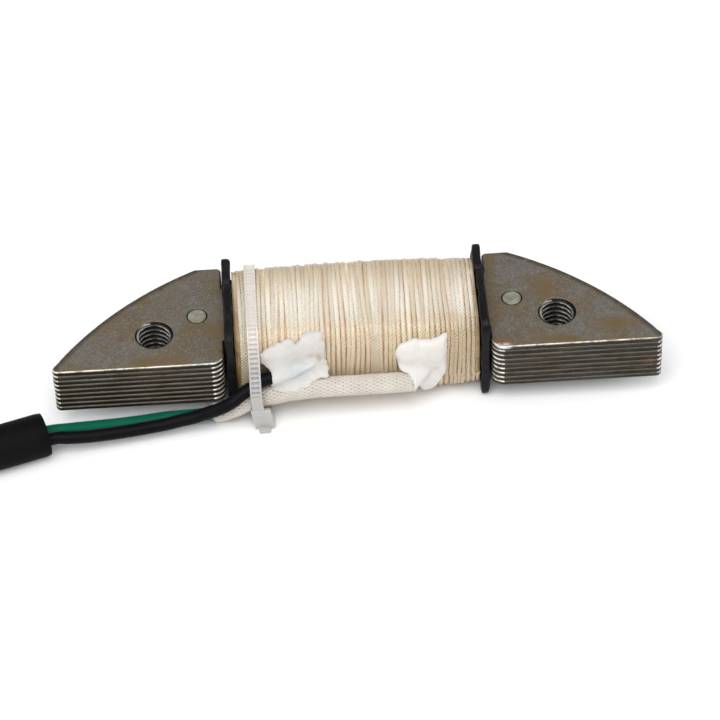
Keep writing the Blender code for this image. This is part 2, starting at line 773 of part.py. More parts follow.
def add_leads(materials, frame):
    add_cord("black_lead", BLACK_ROUTE, LEAD_RADIUS, materials["black_pvc"], frame)
    add_cord("green_lead", GREEN_ROUTE, LEAD_RADIUS, materials["green_pvc"], frame)
    add_cord("lead_sheath", SHEATH_ROUTE, SHEATH_RADIUS, materials["black_pvc"], frame)
    add_cord("black_lead_tail", BLACK_TAIL_ROUTE, LEAD_RADIUS, materials["black_pvc"], frame)
    add_cord("green_lead_tail", GREEN_TAIL_ROUTE, LEAD_RADIUS, materials["green_pvc"], frame)
    add_cord("start_wire", START_WIRE_ROUTE, MAGNET_WIRE_RADIUS, materials["enamel_copper"], frame)
    add_cord("finish_wire", FINISH_WIRE_ROUTE, MAGNET_WIRE_RADIUS, materials["enamel_copper"], frame)
    sleeve_points = smooth_route(SLEEVE_ROUTE, 1.6 * SLEEVE_RADIUS)
    add_open_tube(
        "braided_sleeve",
        sleeve_points,
        SLEEVE_RADIUS,
        SLEEVE_BORE_RADIUS,
        materials["glass_braid"],
        frame,
    )
    for name, wire_end, lead_start in (
        ("start_splice", START_WIRE_ROUTE[-1], BLACK_ROUTE[0]),
        ("finish_splice", FINISH_WIRE_ROUTE[-1], GREEN_ROUTE[0]),
    ):
        start = Vector(wire_end) * MM
        end = Vector(lead_start) * MM
        along = (end - start).normalized()
        add_splice(name, start + along * GAP, end - along * GAP, materials["solder"], frame)


def add_terminals(materials, frame):
    """A bullet terminal and its clear boot on each lead's end."""
    neck_end = CRIMP_LENGTH + TERMINAL_NECK_LENGTH
    pin_end = neck_end + PIN_LENGTH
    profile = [
        (0.0, 0.0),
        (0.0, CRIMP_RADIUS - TERMINAL_CHAMFER),
        (TERMINAL_CHAMFER, CRIMP_RADIUS),
        (CRIMP_LENGTH, CRIMP_RADIUS),
        (CRIMP_LENGTH + TERMINAL_CHAMFER, TERMINAL_NECK_RADIUS),
        (neck_end, TERMINAL_NECK_RADIUS),
        (neck_end + TERMINAL_CHAMFER, PIN_RADIUS),
        (pin_end - PIN_TAPER_LENGTH, PIN_RADIUS),
        (pin_end - PIN_TAPER_LENGTH / 3, (PIN_RADIUS + PIN_TIP_RADIUS) / 2),
        (pin_end, PIN_TIP_RADIUS),
        (pin_end, 0.0),
    ]
    along = Vector((-1.0, 0.0, 0.0))
    for colour, route in (("black", BLACK_TAIL_ROUTE), ("green", GREEN_TAIL_ROUTE)):
        end = Vector(route[-1]) * MM
        origin = end + along * GAP
        add_turned(f"{colour}_bullet_terminal", profile, origin, along, materials["brass"], frame)
        boot_points = [end + along * (BOOT_LENGTH * step / 3 - BOOT_OVERLAP) for step in range(4)]
        add_open_tube(
            f"{colour}_terminal_boot",
            boot_points,
            BOOT_RADIUS,
            BOOT_BORE_RADIUS,
            materials["clear_pvc"],
            frame,
            sides=14,
        )


def tie_path():
    """Centre line of the strap in Y and Z, from the head over the leads and round to the head."""
    lift = TIE_GAP + TIE_THICKNESS / 2
    half_depth, half_height = cover_half_sizes(TIE_X)
    corner = COVER_CORNER + lift
    rear = COIL_CENTRE_Y + half_depth + lift
    top = COIL_CENTRE_Z + half_height + lift
    bottom = COIL_CENTRE_Z - half_height - lift
    front = COIL_CENTRE_Y - half_depth - lift
    path = [(y * MM, z * MM) for y, z in TIE_OVER_LEADS]
    path += arc((front + corner, top - corner), corner, 165, 90, 4)
    path += arc((rear - corner, top - corner), corner, 90, 0, 5)
    path += arc((rear - corner, bottom + corner), corner, 0, -90, 5)
    path += [(y * MM, bottom) for y in TIE_UNDERNEATH] + [(TIE_TAIL_Y, bottom)]
    return path


def add_cable_tie(material, frame):
    """Strap and head are one moulding. The strap's end comes out of the head, cut short."""
    path = tie_path()
    bm = bmesh.new()
    half_width = TIE_WIDTH / 2
    half_thickness = TIE_THICKNESS / 2
    rings = []
    for index, (y, z) in enumerate(path):
        ahead = path[min(index + 1, len(path) - 1)]
        behind = path[max(index - 1, 0)]
        along = Vector((0.0, ahead[0] - behind[0], ahead[1] - behind[1])).normalized()
        outward = Vector((1.0, 0.0, 0.0)).cross(along)
        # The strap slants a little: its lower end joins the head, which sits nearer the middle.
        share = min(1.0, max(0.0, (TIE_SLANT_TOP - z) / TIE_SLANT_HEIGHT))
        centre = Vector((TIE_X + (TIE_HEAD_X - TIE_X) * share, y, z))
        ring = []
        for sideways, out in ((-1, -1), (1, -1), (1, 1), (-1, 1)):
            corner = centre + Vector((sideways * half_width, 0, 0)) + outward * (out * half_thickness)
            ring.append(bm.verts.new(corner))
        rings.append(ring)
    for ring, following in zip(rings, rings[1:]):
        join_rings(bm, ring, following)
    bm.faces.new(rings[0])
    bm.faces.new(rings[-1])
    strap = add_mesh("cable_tie", bm, material, frame)
    foot = FLOOR_Z + TIE_HEAD_LIFT
    head_outline = [(y * MM, foot + rise * MM) for y, rise in TIE_HEAD_OUTLINE]
    bm = bmesh.new()
    extrude_along_x(bm, head_outline, TIE_HEAD_X - TIE_HEAD_WIDTH / 2, TIE_HEAD_X + TIE_HEAD_WIDTH / 2)
    head = add_mesh("cable_tie_head_form", bm, material, frame)
    head.hide_render = True
    head.display_type = "WIRE"
    join = strap.modifiers.new("head", "BOOLEAN")
    join.operation = "UNION"
    join.object = head


def build():
    clear_scene()
    frame = make_frame()
    materials = {
        "steel": make_material("steel", (0.24, 0.22, 0.19), 0.42, 0.9),
        "rivet_steel": make_material("rivet_steel", (0.42, 0.43, 0.38), 0.45, 0.8),
        "black_nylon": make_material("black_nylon", (0.012, 0.013, 0.014), 0.5),
        "enamel_copper": make_material("enamel_copper", (0.45, 0.16, 0.06), 0.3, 0.8),
        "amber_film": make_material("amber_film", (0.6, 0.35, 0.1), 0.3),
        "varnished_thread": make_material("varnished_thread", (0.76, 0.65, 0.48), 0.45),
        "glass_braid": make_material("glass_braid", (0.72, 0.68, 0.62), 0.7),
        "silicone": make_material("silicone", (0.83, 0.83, 0.82), 0.5),
        "nylon": make_material("nylon", (0.72, 0.71, 0.68), 0.35),
        "black_pvc": make_material("black_pvc", (0.01, 0.01, 0.012), 0.4),
        "green_pvc": make_material("green_pvc", (0.0, 0.16, 0.08), 0.4),
        "solder": make_material("solder", (0.6, 0.6, 0.6), 0.3, 1.0),
        "brass": make_material("brass", (0.75, 0.55, 0.25), 0.3, 1.0),
        "clear_pvc": make_material("clear_pvc", (0.75, 0.76, 0.74), 0.2),
    }
    for index in range(SHEETS):
        add_lamination(index, materials["steel"], frame)
    add_rivet("rivet_left", -1, materials["rivet_steel"], frame)
    add_rivet("rivet_right", 1, materials["rivet_steel"], frame)
    add_bobbin_half("bobbin_front", SPLIT_FRONT_Y, -1, materials["black_nylon"], frame)
    add_bobbin_half("bobbin_rear", SPLIT_REAR_Y, 1, materials["black_nylon"], frame)
    add_winding(materials, frame)
    add_leads(materials, frame)
    add_silicone(materials, frame)
    add_cable_tie(materials["nylon"], frame)
    add_terminals(materials, frame)


build()
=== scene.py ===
"""The looks of a small engine's source coil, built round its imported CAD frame.

Lengths are in millimetres in the core's own axes, as in the CAD source: X along the coil, Y from the
poles' straight front to their arched rear, Z up from the underside of the stack. place() takes them to
the frame's metres.
"""

import math

import bmesh
import bpy
import numpy as np
from mathutils import Matrix, Vector, noise


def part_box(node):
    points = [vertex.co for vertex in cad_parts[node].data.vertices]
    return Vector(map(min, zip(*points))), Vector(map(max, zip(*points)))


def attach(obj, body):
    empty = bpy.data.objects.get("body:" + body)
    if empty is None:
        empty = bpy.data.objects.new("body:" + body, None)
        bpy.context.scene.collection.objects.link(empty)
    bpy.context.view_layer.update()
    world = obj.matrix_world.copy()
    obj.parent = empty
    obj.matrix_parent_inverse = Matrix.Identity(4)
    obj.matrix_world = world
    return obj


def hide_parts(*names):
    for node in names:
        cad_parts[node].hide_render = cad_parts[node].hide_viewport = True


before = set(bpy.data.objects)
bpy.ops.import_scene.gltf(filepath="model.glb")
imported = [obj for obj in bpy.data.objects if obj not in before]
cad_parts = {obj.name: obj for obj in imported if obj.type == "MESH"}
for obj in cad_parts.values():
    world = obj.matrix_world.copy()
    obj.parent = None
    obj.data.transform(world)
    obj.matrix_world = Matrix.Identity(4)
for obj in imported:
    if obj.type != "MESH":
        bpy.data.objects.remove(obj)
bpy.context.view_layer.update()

MM = 0.001
SHEETS = sum(name.startswith("lamination_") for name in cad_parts)
first_low, first_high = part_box("lamination_1")
last_low, last_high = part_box(f"lamination_{SHEETS}")
cheek_low, cheek_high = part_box("bobbin_front")
rear_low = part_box("bobbin_rear")[0]
cover_low, cover_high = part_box("thread_cover")
rivet_low, rivet_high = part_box("rivet_right")
CORE = Vector((0.0, first_low.y, first_low.z))

# Core, read from the frame.
STACK_HEIGHT = (last_high.z - first_low.z) / MM
SHEET_PITCH = (last_low.z - first_low.z) / MM / (SHEETS - 1)
SHEET_THICKNESS = (first_high.z - first_low.z) / MM
POLE_TIP_X = first_high.x / MM
POLE_REAR_Y = (first_high.y - first_low.y) / MM
CHEEK_OUTER_X = cheek_high.x / MM
POLE_INNER_X = CHEEK_OUTER_X + 0.16
RIVET_X = (rivet_low.x + rivet_high.x) / 2 / MM
RIVET_Y = ((rivet_low.y + rivet_high.y) / 2 - CORE.y) / MM
RIVET_RADIUS = (rivet_high.x - rivet_low.x) / 2 / MM

# Core, shape of its outline.
POLE_CORNER_X = 26.15
ARCH_RADIUS = 58.9
ARCH_CENTRE_Y = -30.4
TIP_RADIUS = 0.9
INNER_CORNER_RADIUS = 2.2
REAR_CORNER_RADIUS = 0.8
NECK_FRONT_Y = 5.0
NECK_REAR_Y = 17.6
SCREW_HOLE_X = 33.15
SCREW_HOLE_Y = 7.4
THREAD_MAJOR_RADIUS = 3.12
THREAD_MINOR_RADIUS = 2.58
THREAD_PITCH = 1.0

# Bobbin and winding.
CHEEK_WIDTH = 1.5
CHEEK_INNER_X = CHEEK_OUTER_X - CHEEK_WIDTH
COIL_CENTRE_Y = 11.3
COIL_CENTRE_Z = (cheek_low.z + cheek_high.z) / 2 / MM - CORE.z / MM
CHEEK_HALF_DEPTH = COIL_CENTRE_Y - (cheek_low.y - CORE.y) / MM
CHEEK_HALF_HEIGHT = (cheek_high.z - cheek_low.z) / 2 / MM
CHEEK_CORNER = 1.9
SPLIT_FRONT_Y = (cheek_high.y - CORE.y) / MM
SPLIT_REAR_Y = (rear_low.y - CORE.y) / MM
BORE_GAP = 0.2
TUBE_WALL = 0.8
WINDING_END_X = cover_high.x / MM
END_HALF_DEPTH = 9.45
END_HALF_HEIGHT = 7.5
DEPTH_BULGE = (cover_high.y - cover_low.y) / 2 / MM - END_HALF_DEPTH
HEIGHT_BULGE = (cover_high.z - cover_low.z) / 2 / MM - END_HALF_HEIGHT
BULGE_POWER = 2.5
COVER_CORNER = 4.2

# Cords: the routes of the CAD source, in mm.
LEAD_RADIUS = 1.08
SLEEVE_RADIUS = 1.7
SLEEVE_BORE_RADIUS = 1.4
SHEATH_RADIUS = 3.65
SHEATH_BORE_RADIUS = 2.95
# From a lead's end to the metal of its terminal.
TERMINAL_GAP = 0.3
BLACK_ROUTE = [
    (-13.9, 0.15, 4.75), (-15.6, 0.05, 4.5), (-17.0, -0.55, 3.95), (-18.6, -1.3, 3.45),
    (-20.5, -2.3, 2.55), (-21.5, -2.7, 2.1), (-22.8, -2.8, 1.4), (-24.0, -2.65, 0.7),
    (-25.6, -2.5, -0.05), (-27.4, -2.6, -0.6), (-29.7, -2.8, -0.95), (-32.2, -3.15, -1.25),
    (-36.7, -3.95, -1.25), (-41.2, -4.7, -1.1), (-45.0, -5.25, -0.85), (-48.0, -5.6, -0.5),
    (-50.7, -5.85, -0.25),
]
GREEN_ROUTE = [
    (-14.0, -0.25, 1.35), (-16.4, -0.2, 0.85), (-18.9, -0.6, 0.2), (-20.4, -0.8, -0.4),
    (-21.6, -0.75, -1.0), (-22.8, -0.5, -1.7), (-23.9, -0.25, -2.12), (-26.0, -0.15, -2.55),
    (-29.7, -0.2, -2.7), (-32.2, -0.3, -2.7), (-36.7, -1.05, -2.5), (-41.2, -1.75, -2.15),
    (-45.0, -2.35, -1.75), (-48.4, -2.95, -1.35), (-51.3, -3.5, -1.05),
]
SLEEVE_ROUTE = [
    (9.2, -0.3, 2.5), (6.0, -0.35, 2.5), (2.0, -0.4, 2.5), (-3.0, -0.4, 2.5), (-7.0, -0.38, 2.45),
    (-10.0, -0.35, 2.2), (-12.2, -0.3, 1.8),
] + GREEN_ROUTE[:7]
SHEATH_ROUTE = [
    (-51.7, -4.68, -0.25), (-55.0, -5.75, -0.25), (-58.7, -6.95, -0.25), (-63.0, -8.15, -0.25),
    (-68.0, -9.2, -0.25), (-74.0, -9.95, -0.25), (-81.0, -10.25, -0.25), (-88.0, -10.05, -0.25),
    (-95.0, -9.5, -0.25), (-102.0, -8.7, -0.25), (-109.0, -7.9, -0.25), (-116.0, -7.3, -0.25),
    (-121.5, -7.1, -0.25),
]
BLACK_TAIL_ROUTE = [
    (-121.9, -8.5, -0.9), (-125.0, -9.0, -1.5), (-129.0, -10.0, -2.1), (-133.5, -11.0, -2.2),
    (-138.0, -11.5, -1.8), (-141.5, -11.6, -1.35),
]
GREEN_TAIL_ROUTE = [
    (-121.9, -5.7, -0.9), (-125.0, -5.1, -1.5), (-129.0, -4.1, -2.1), (-133.5, -3.1, -2.2),
    (-138.0, -2.6, -1.8), (-141.5, -2.5, -1.35),
]


# ---------------------------------------------------------------- shape tools


def place(points):
    """Millimetres in the core's axes to metres in the frame."""
    return np.asarray(points, float) * MM + np.array(CORE)


def clamped(value):
    return min(1.0, max(0.0, value))


def linked(name, data):
    obj = bpy.data.objects.new(name, data)
    bpy.context.scene.collection.objects.link(obj)
    return obj


def add_piece(name, data, material, replaced=()):
    data.materials.append(material)
    obj = linked(name, data)
    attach(obj, "root")
    if replaced:
        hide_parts(*replaced)
    return obj


def finish_mesh(bm, mesh, sharp_angle=None):
    """Writes bm to the mesh with its faces turned outwards.

    Shading is smooth up to sharp_angle, in degrees. 0 makes all of it smooth, and None none of it.
    """
    bmesh.ops.recalc_face_normals(bm, faces=bm.faces)
    bm.to_mesh(mesh)
    bm.free()
    if sharp_angle is not None:
        mesh.shade_smooth()
    if sharp_angle:
        mesh.set_sharp_from_angle(angle=math.radians(sharp_angle))


def new_mesh(name, points, faces, marks=None, sharp_angle=None):
    mesh = bpy.data.meshes.new(name)
    mesh.from_pydata(place(points).tolist(), [], faces)
    for mark, values in (marks or {}).items():
        attribute = mesh.attributes.new(mark, "FLOAT", "POINT")
        attribute.data.foreach_set("value", np.asarray(values, np.float32).ravel())
    bm = bmesh.new()
    bm.from_mesh(mesh)
    finish_mesh(bm, mesh, sharp_angle)
    return mesh


def add_mesh(name, points, faces, material, replaced=(), marks=None, sharp_angle=0):
    """A mesh piece. marks are named numbers, one for each point, that its material reads."""
    return add_piece(name, new_mesh(name, points, faces, marks, sharp_angle), material, replaced)


def grid_faces(rows, columns):
    """Quads between rings of points, each ring a row."""
    row, column = np.meshgrid(np.arange(rows - 1), np.arange(columns), indexing="ij")
    after = (column + 1) % columns
    corners = [row * columns + column, row * columns + after]
    corners += [(row + 1) * columns + after, (row + 1) * columns + column]
    return np.stack(corners, -1).reshape(-1, 4).tolist()


def closed_faces(rows, columns):
    """The grid's quads and a face on each end."""
    last = (rows - 1) * columns
    return grid_faces(rows, columns) + [list(range(columns)), list(range(last, last + columns))]


def looped_faces(rows, columns):
    """The grid's quads, with its last row joined to its first."""
    last = (rows - 1) * columns
    afters = [(column + 1) % columns for column in range(columns)]
    join = [[after, column, last + column, last + after] for column, after in enumerate(afters)]
    return grid_faces(rows, columns) + join


def catmull_rom(knots, steps):
    """The curve from the second knot up to the last but one, this many points to a knot."""
    t = np.linspace(0.0, 1.0, steps, endpoint=False)[:, None]
    fine = []
    for before, start, end, after in zip(knots, knots[1:], knots[2:], knots[3:]):
        bend = (2 * before - 5 * start + 4 * end - after) * t**2
        twist = (3 * start - before - 3 * end + after) * t**3
        fine.append(0.5 * (2 * start + (end - before) * t + bend + twist))
    return np.vstack(fine)


def lengths_along(points):
    return np.append(0.0, np.cumsum(np.linalg.norm(np.diff(points, axis=0), axis=1)))


def length_of(points):
    return float(lengths_along(points)[-1])


def points_at(wanted, points):
    """The points of a path at the wanted lengths along it."""
    lengths = lengths_along(points)
    return np.stack([np.interp(wanted, lengths, values) for values in points.T], 1)


def evenly(points, count):
    return points_at(np.linspace(0.0, length_of(points), count), points)


def smooth_route(route, spacing):
    """Points about every spacing along a smooth curve through the route's points."""
    knots = np.array(route, float)
    knots = np.vstack([2 * knots[0] - knots[1], knots, 2 * knots[-1] - knots[-2]])
    fine = np.vstack([catmull_rom(knots, 20), knots[-2:-1]])
    return evenly(fine, max(2, round(length_of(fine) / spacing)) + 1)


def sweep_frames(path):
    """Two directions across the path at each of its points, turned as little as possible."""
    along = np.gradient(path, axis=0)
    along /= np.linalg.norm(along, axis=1)[:, None]
    side = np.array((0.0, 0.0, 1.0))
    sides = []
    for direction in along:
        side = side - direction * side.dot(direction)
        side /= np.linalg.norm(side)
        sides.append(side)
    sides = np.array(sides)
    return sides, np.cross(along, sides)


def ring_angles(columns):
    return 2 * np.pi * np.arange(columns) / columns


def tube_points(path, radii):
    """Rings round a path. radii holds one row for each point of the path."""
    angle = ring_angles(radii.shape[1])
    side, up = sweep_frames(path)
    around = side[:, None] * np.cos(angle)[None, :, None] + up[:, None] * np.sin(angle)[None, :, None]
    return (path[:, None] + around * radii[:, :, None]).reshape(-1, 3)


def rows_reversed(points, columns):
    return points.reshape(-1, columns, 3)[::-1].reshape(-1, 3)


def roughly(x, y, z, seed=0.0):
    """Smooth noise from about -1 to 1."""
    return noise.noise(Vector((x + seed, y - seed, z + 2 * seed)))


def tube_lumps(lengths, columns, size, seed):
    """Smooth noise on a tube: a row for each length, with both scaled to the noise's features."""
    rows = []
    for length in lengths:
        around = [(size * math.cos(angle), size * math.sin(angle)) for angle in ring_angles(columns)]
        rows.append([roughly(length, y, z, seed) for y, z in around])
    return np.array(rows)


def arc(centre, radius, start, end, segments):
    """Points of an arc, angles in degrees, both ends included."""
    angles = np.radians(np.linspace(start, end, segments + 1))
    return [(centre[0] + radius * math.cos(a), centre[1] + radius * math.sin(a)) for a in angles]


# ---------------------------------------------------------------- materials


class Nodes:
    """A Principled material with short calls for the nodes used here. Its sockets are set by name."""

    def __init__(self, name, **sockets):
        self.material = bpy.data.materials.new(name)
        self.material.use_nodes = True
        self.tree = self.material.node_tree
        self.shader = self.tree.nodes["Principled BSDF"]
        for socket, value in sockets.items():
            self.put(self.shader.inputs[socket.replace("_", " ")], value)
        self.where = self.add("ShaderNodeTexCoord").outputs["Object"]

    def put(self, socket, value):
        if isinstance(value, bpy.types.NodeSocket):
            self.tree.links.new(value, socket)
        elif isinstance(value, tuple) and len(value) == 3 and socket.type == "RGBA":
            socket.default_value = (*value, 1.0)
        else:
            socket.default_value = value

    def add(self, kind, **settings):
        node = self.tree.nodes.new(kind)
        for key, value in settings.items():
            setattr(node, key, value)
        return node

    def noise(self, scale, detail=3.0, rough=0.55, stretch=(1.0, 1.0, 1.0), distortion=0.0):
        """Noise with this many features to the metre, stretched along the axes."""
        mapping = self.add("ShaderNodeMapping")
        self.put(mapping.inputs["Vector"], self.where)
        mapping.inputs["Scale"].default_value = stretch
        texture = self.add("ShaderNodeTexNoise")
        self.put(texture.inputs["Vector"], mapping.outputs["Vector"])
        texture.inputs["Scale"].default_value = scale
        texture.inputs["Detail"].default_value = detail
        texture.inputs["Roughness"].default_value = rough
        texture.inputs["Distortion"].default_value = distortion
        return texture.outputs["Fac"]

    def near(self, centre, reach):
        """1 at a place, falling to 0 at this reach from it along each axis, both in the core's mm."""
        away = self.where
        for operation, numbers in (("SUBTRACT", place(centre)), ("DIVIDE", np.array(reach) * MM)):
            node = self.add("ShaderNodeVectorMath", operation=operation)
            self.put(node.inputs[0], away)
            node.inputs[1].default_value = tuple(numbers)
            away = node.outputs[0]
        length = self.add("ShaderNodeVectorMath", operation="LENGTH")
        self.put(length.inputs[0], away)
        return self.span(length.outputs["Value"], 0.0, 1.0, 1.0, 0.0)

    def mark(self, name):
        return self.add("ShaderNodeAttribute", attribute_name=name).outputs["Fac"]

    def axis(self, name):
        split = self.add("ShaderNodeSeparateXYZ")
        self.put(split.inputs[0], self.where)
        return split.outputs[name]

    def span(self, value, low, high, to_low=0.0, to_high=1.0):
        """value taken smoothly from low..high to to_low..to_high, and held beyond them."""
        node = self.add("ShaderNodeMapRange", interpolation_type="SMOOTHSTEP")
        for socket, number in zip(node.inputs, (value, low, high, to_low, to_high)):
            self.put(socket, number)
        return node.outputs[0]

    def math(self, operation, first, second=0.0):
        node = self.add("ShaderNodeMath", operation=operation)
        self.put(node.inputs[0], first)
        self.put(node.inputs[1], second)
        return node.outputs[0]

    def times(self, first, second):
        return self.math("MULTIPLY", first, second)

    def distance(self, x, y, centre_x, centre_y):
        """From a place in plan, in the core's mm."""
        aside = self.math("POWER", self.math("SUBTRACT", x, centre_x * MM), 2.0)
        beyond = self.math("POWER", self.math("SUBTRACT", y, CORE.y + centre_y * MM), 2.0)
        return self.math("SQRT", self.math("ADD", aside, beyond))

    def mix(self, share, first, second):
        node = self.add("ShaderNodeMix", data_type="RGBA")
        self.put(node.inputs["Factor"], share)
        self.put(node.inputs[6], first)
        self.put(node.inputs[7], second)
        return node.outputs[2]

    def bump(self, height, depth, strength=1.0, under=None):
        """Relief of this depth in mm, on top of another bump if one is given."""
        node = self.add("ShaderNodeBump")
        node.inputs["Strength"].default_value = strength
        node.inputs["Distance"].default_value = depth * MM
        self.put(node.inputs["Height"], height)
        if under:
            self.put(node.inputs["Normal"], under)
        return node.outputs[0]

    def finish(self, **sockets):
        for socket, value in sockets.items():
            self.put(self.shader.inputs[socket.replace("_", " ")], value)
        return self.material


def see_through(weight, radius, scale):
    """Sockets for a material that light sinks into, to about this depth in mm."""
    return {"Subsurface_Weight": weight, "Subsurface_Radius": radius, "Subsurface_Scale": scale * MM}


def two_tone(name, colours, features, rough, relief=None, detail=4.0, stretch=(1.0, 1.0, 1.0), **sockets):
    """A clouded material: two colours, a span of roughness and maybe relief, as (depth, strength)."""
    n = Nodes(name, **sockets)
    cloud = n.noise(features, detail, stretch=stretch)
    n.finish(Base_Color=n.mix(cloud, *colours), Roughness=n.span(cloud, 0.3, 0.7, *rough))
    if relief:
        n.finish(Normal=n.bump(cloud, *relief))
    return n.material


def pvc(name, colour, roughness, mottle=0.35):
    """Extruded PVC: slightly uneven gloss, faint grain and dust."""
    n = Nodes(name, Roughness=roughness, Specular_IOR_Level=0.05)
    cloud = n.noise(260.0, 4.0)
    grain = n.noise(5200.0, 2.0)
    dust = n.span(n.noise(1900.0, 5.0), 0.62, 0.8)
    light = tuple(channel * (1 + mottle) + 0.001 for channel in colour)
    dusty = tuple(channel + 0.02 for channel in colour)
    base = n.mix(n.span(cloud, 0.3, 0.7), colour, light)
    relief = n.bump(grain, 0.012, 0.5, under=n.bump(cloud, 0.08, 0.4))
    return n.finish(
        Base_Color=n.mix(n.times(dust, 0.25), base, dusty),
        Roughness=n.span(cloud, 0.25, 0.75, roughness - 0.07, roughness + 0.1),
        Normal=relief,
    )


# ---------------------------------------------------------------- leads and sheath


def add_curve(name, points, radius, material, replaced):
    """A round cord: a poly curve through closely spaced points, with filled ends."""
    curve = bpy.data.curves.new(name, "CURVE")
    curve.dimensions = "3D"
    curve.bevel_depth = radius * MM
    curve.bevel_resolution = 8
    curve.use_fill_caps = True
    spline = curve.splines.new("POLY")
    spline.points.add(len(points) - 1)
    for spline_point, point in zip(spline.points, place(points)):
        spline_point.co = (*point, 1.0)
    spline.use_smooth = True
    return add_piece(name, curve, material, replaced)


def whole_lead(front, tail, sideways, drop):
    """A lead's route from its splice to its terminal, through the sheath beside the other lead."""
    inside = []
    for step, (x, y, z) in enumerate(SHEATH_ROUTE[2:-1]):
        settled = clamped((step + 1) / 3)
        inside.append((x, y + sideways, z + drop * settled))
    return smooth_route(front + inside + tail, 0.6)


def add_lead(colour, points, material):
    replaced = [f"{colour}_lead", f"{colour}_lead_tail"]
    lead = add_curve(f"{colour}_lead_whole", points, LEAD_RADIUS, material, replaced)


def add_sheath(material):
    """A PVC tube with a wall. It is a little oval, and its mouth is cut square."""
    path = smooth_route(SHEATH_ROUTE, 0.8)
    columns = 40
    unevenness = 0.018
    lip = 0.12
    lumps = tube_lumps(path[:, 0] * 0.12, columns, 1.0, 4.0)
    wall = [radius * (1 + unevenness * lumps) for radius in (SHEATH_RADIUS, SHEATH_BORE_RADIUS)]
    # The wall's section is walked out along the skin, over the lip and back through the bore.
    skin = tube_points(path, wall[0])
    bore = tube_points(path, wall[1])
    skin_lip = tube_points(path, wall[0] - lip)
    bore_lip = tube_points(path, wall[1] + lip)
    points = np.vstack([
        skin_lip[:columns],
        skin[columns:-columns],
        skin_lip[-columns:],
        bore_lip[-columns:],
        rows_reversed(bore[columns:-columns], columns),
        bore_lip[:columns],
    ])
    faces = looped_faces(len(points) // columns, columns)
    sheath = add_mesh(
        "lead_sheath_tube", points, faces, material, ["lead_sheath"], sharp_angle=50
    )


def turned(profile, columns=40):
    """Points and faces of a solid of revolution along -X from its (distance, radius) pairs."""
    angle = ring_angles(columns)
    points = []
    for distance, radius in profile:
        ring = np.stack([np.full(columns, -distance), radius * np.cos(angle), radius * np.sin(angle)], 1)
        points.append(ring)
    return np.vstack(points), len(profile), columns


def rounded_profile(corners, radius, steps=4):
    """A turned profile with each inner corner replaced by a short curve."""
    points = [corners[0]]
    for before, corner, after in zip(corners, corners[1:], corners[2:]):
        corner = np.array(corner)
        towards = np.array(before) - corner
        onwards = np.array(after) - corner
        cut = min(radius, 0.45 * np.linalg.norm(towards), 0.45 * np.linalg.norm(onwards))
        start = corner + towards / np.linalg.norm(towards) * cut
        end = corner + onwards / np.linalg.norm(onwards) * cut
        for step in range(steps + 1):
            t = step / steps
            points.append(tuple((1 - t) ** 2 * start + 2 * t * (1 - t) * corner + t * t * end))
    return points + [corners[-1]]


def add_terminal(colour, tail, brass, boot_material):
    """A crimped bullet terminal in a clear boot, in line with the lead's end."""
    end = np.array(tail[-1])
    low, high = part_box(f"{colour}_bullet_terminal")
    reach = (high.x - low.x) / MM
    near = TERMINAL_GAP
    crimp = 5.0
    neck = crimp + 1.2
    seam_depth = 0.16
    seam_width = 0.13
    # Profiles are (distance past the lead's end, radius).
    profile = [
        (near, 1.2), (near, 1.5), (near + 0.3, 1.68), (near + 0.9, 1.68), (near + 1.5, 1.42),
        (near + 2.3, 1.4), (near + 2.9, 1.66), (crimp, 1.66), (crimp + 0.4, 1.2), (neck, 1.15),
        (neck + 0.3, 1.93), (reach - 4.6, 1.95), (reach - 4.3, 1.72), (reach - 3.6, 1.72),
        (reach - 3.3, 1.95), (reach - 1.5, 1.93), (reach - 0.3, 1.2), (reach + near, 0.7),
        (reach + near, 0.35),
    ]
    points, rows, columns = turned(rounded_profile(profile, 0.25))
    # The sheet metal is rolled up: its seam shows as a groove along the top.
    angle = np.arctan2(points[:, 2], points[:, 1])
    seam = np.exp(-(((angle - np.pi / 2) / seam_width) ** 2))
    points[:, 1:] *= (1 - seam_depth * seam)[:, None]
    terminal = add_mesh(
        f"{colour}_bullet_terminal_rolled",
        points + end,
        closed_faces(rows, columns),
        brass,
        [f"{colour}_bullet_terminal"],
        sharp_angle=40,
    )
    boot_low, boot_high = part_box(f"{colour}_terminal_boot")
    start = end[0] - boot_high.x / MM
    stop = end[0] - boot_low.x / MM
    outer = 2.55
    inner = 2.22
    boot_profile = [
        (start + 0.15, inner - 0.55), (start, inner - 0.35), (start + 0.1, inner - 0.15),
        (start + 1.9, outer - 0.12), (start + 2.9, outer), (stop - 1.0, outer),
        (stop - 0.2, outer + 0.04), (stop, outer - 0.12), (stop - 0.15, inner), (start + 3.1, inner),
        (start + 1.6, inner - 0.2), (start + 0.4, inner - 0.5),
    ]
    points, rows, columns = turned(boot_profile)
    boot = add_mesh(
        f"{colour}_terminal_boot_clear",
        points + end,
        looped_faces(rows, columns),
        boot_material,
        [f"{colour}_terminal_boot"],
        sharp_angle=60,
    )
    return [terminal, boot]


def brass_material():
    n = Nodes("tinned_brass", Metallic=1.0)
    cloud = n.noise(420.0, 4.0)
    scratch = n.noise(2600.0, 3.0, stretch=(0.12, 1.0, 1.0))
    return n.finish(
        Base_Color=n.mix(n.span(cloud, 0.35, 0.7), (0.78, 0.6, 0.3), (0.55, 0.38, 0.17)),
        Roughness=n.span(scratch, 0.3, 0.7, 0.2, 0.42),
        Normal=n.bump(scratch, 0.01, 0.5),
    )


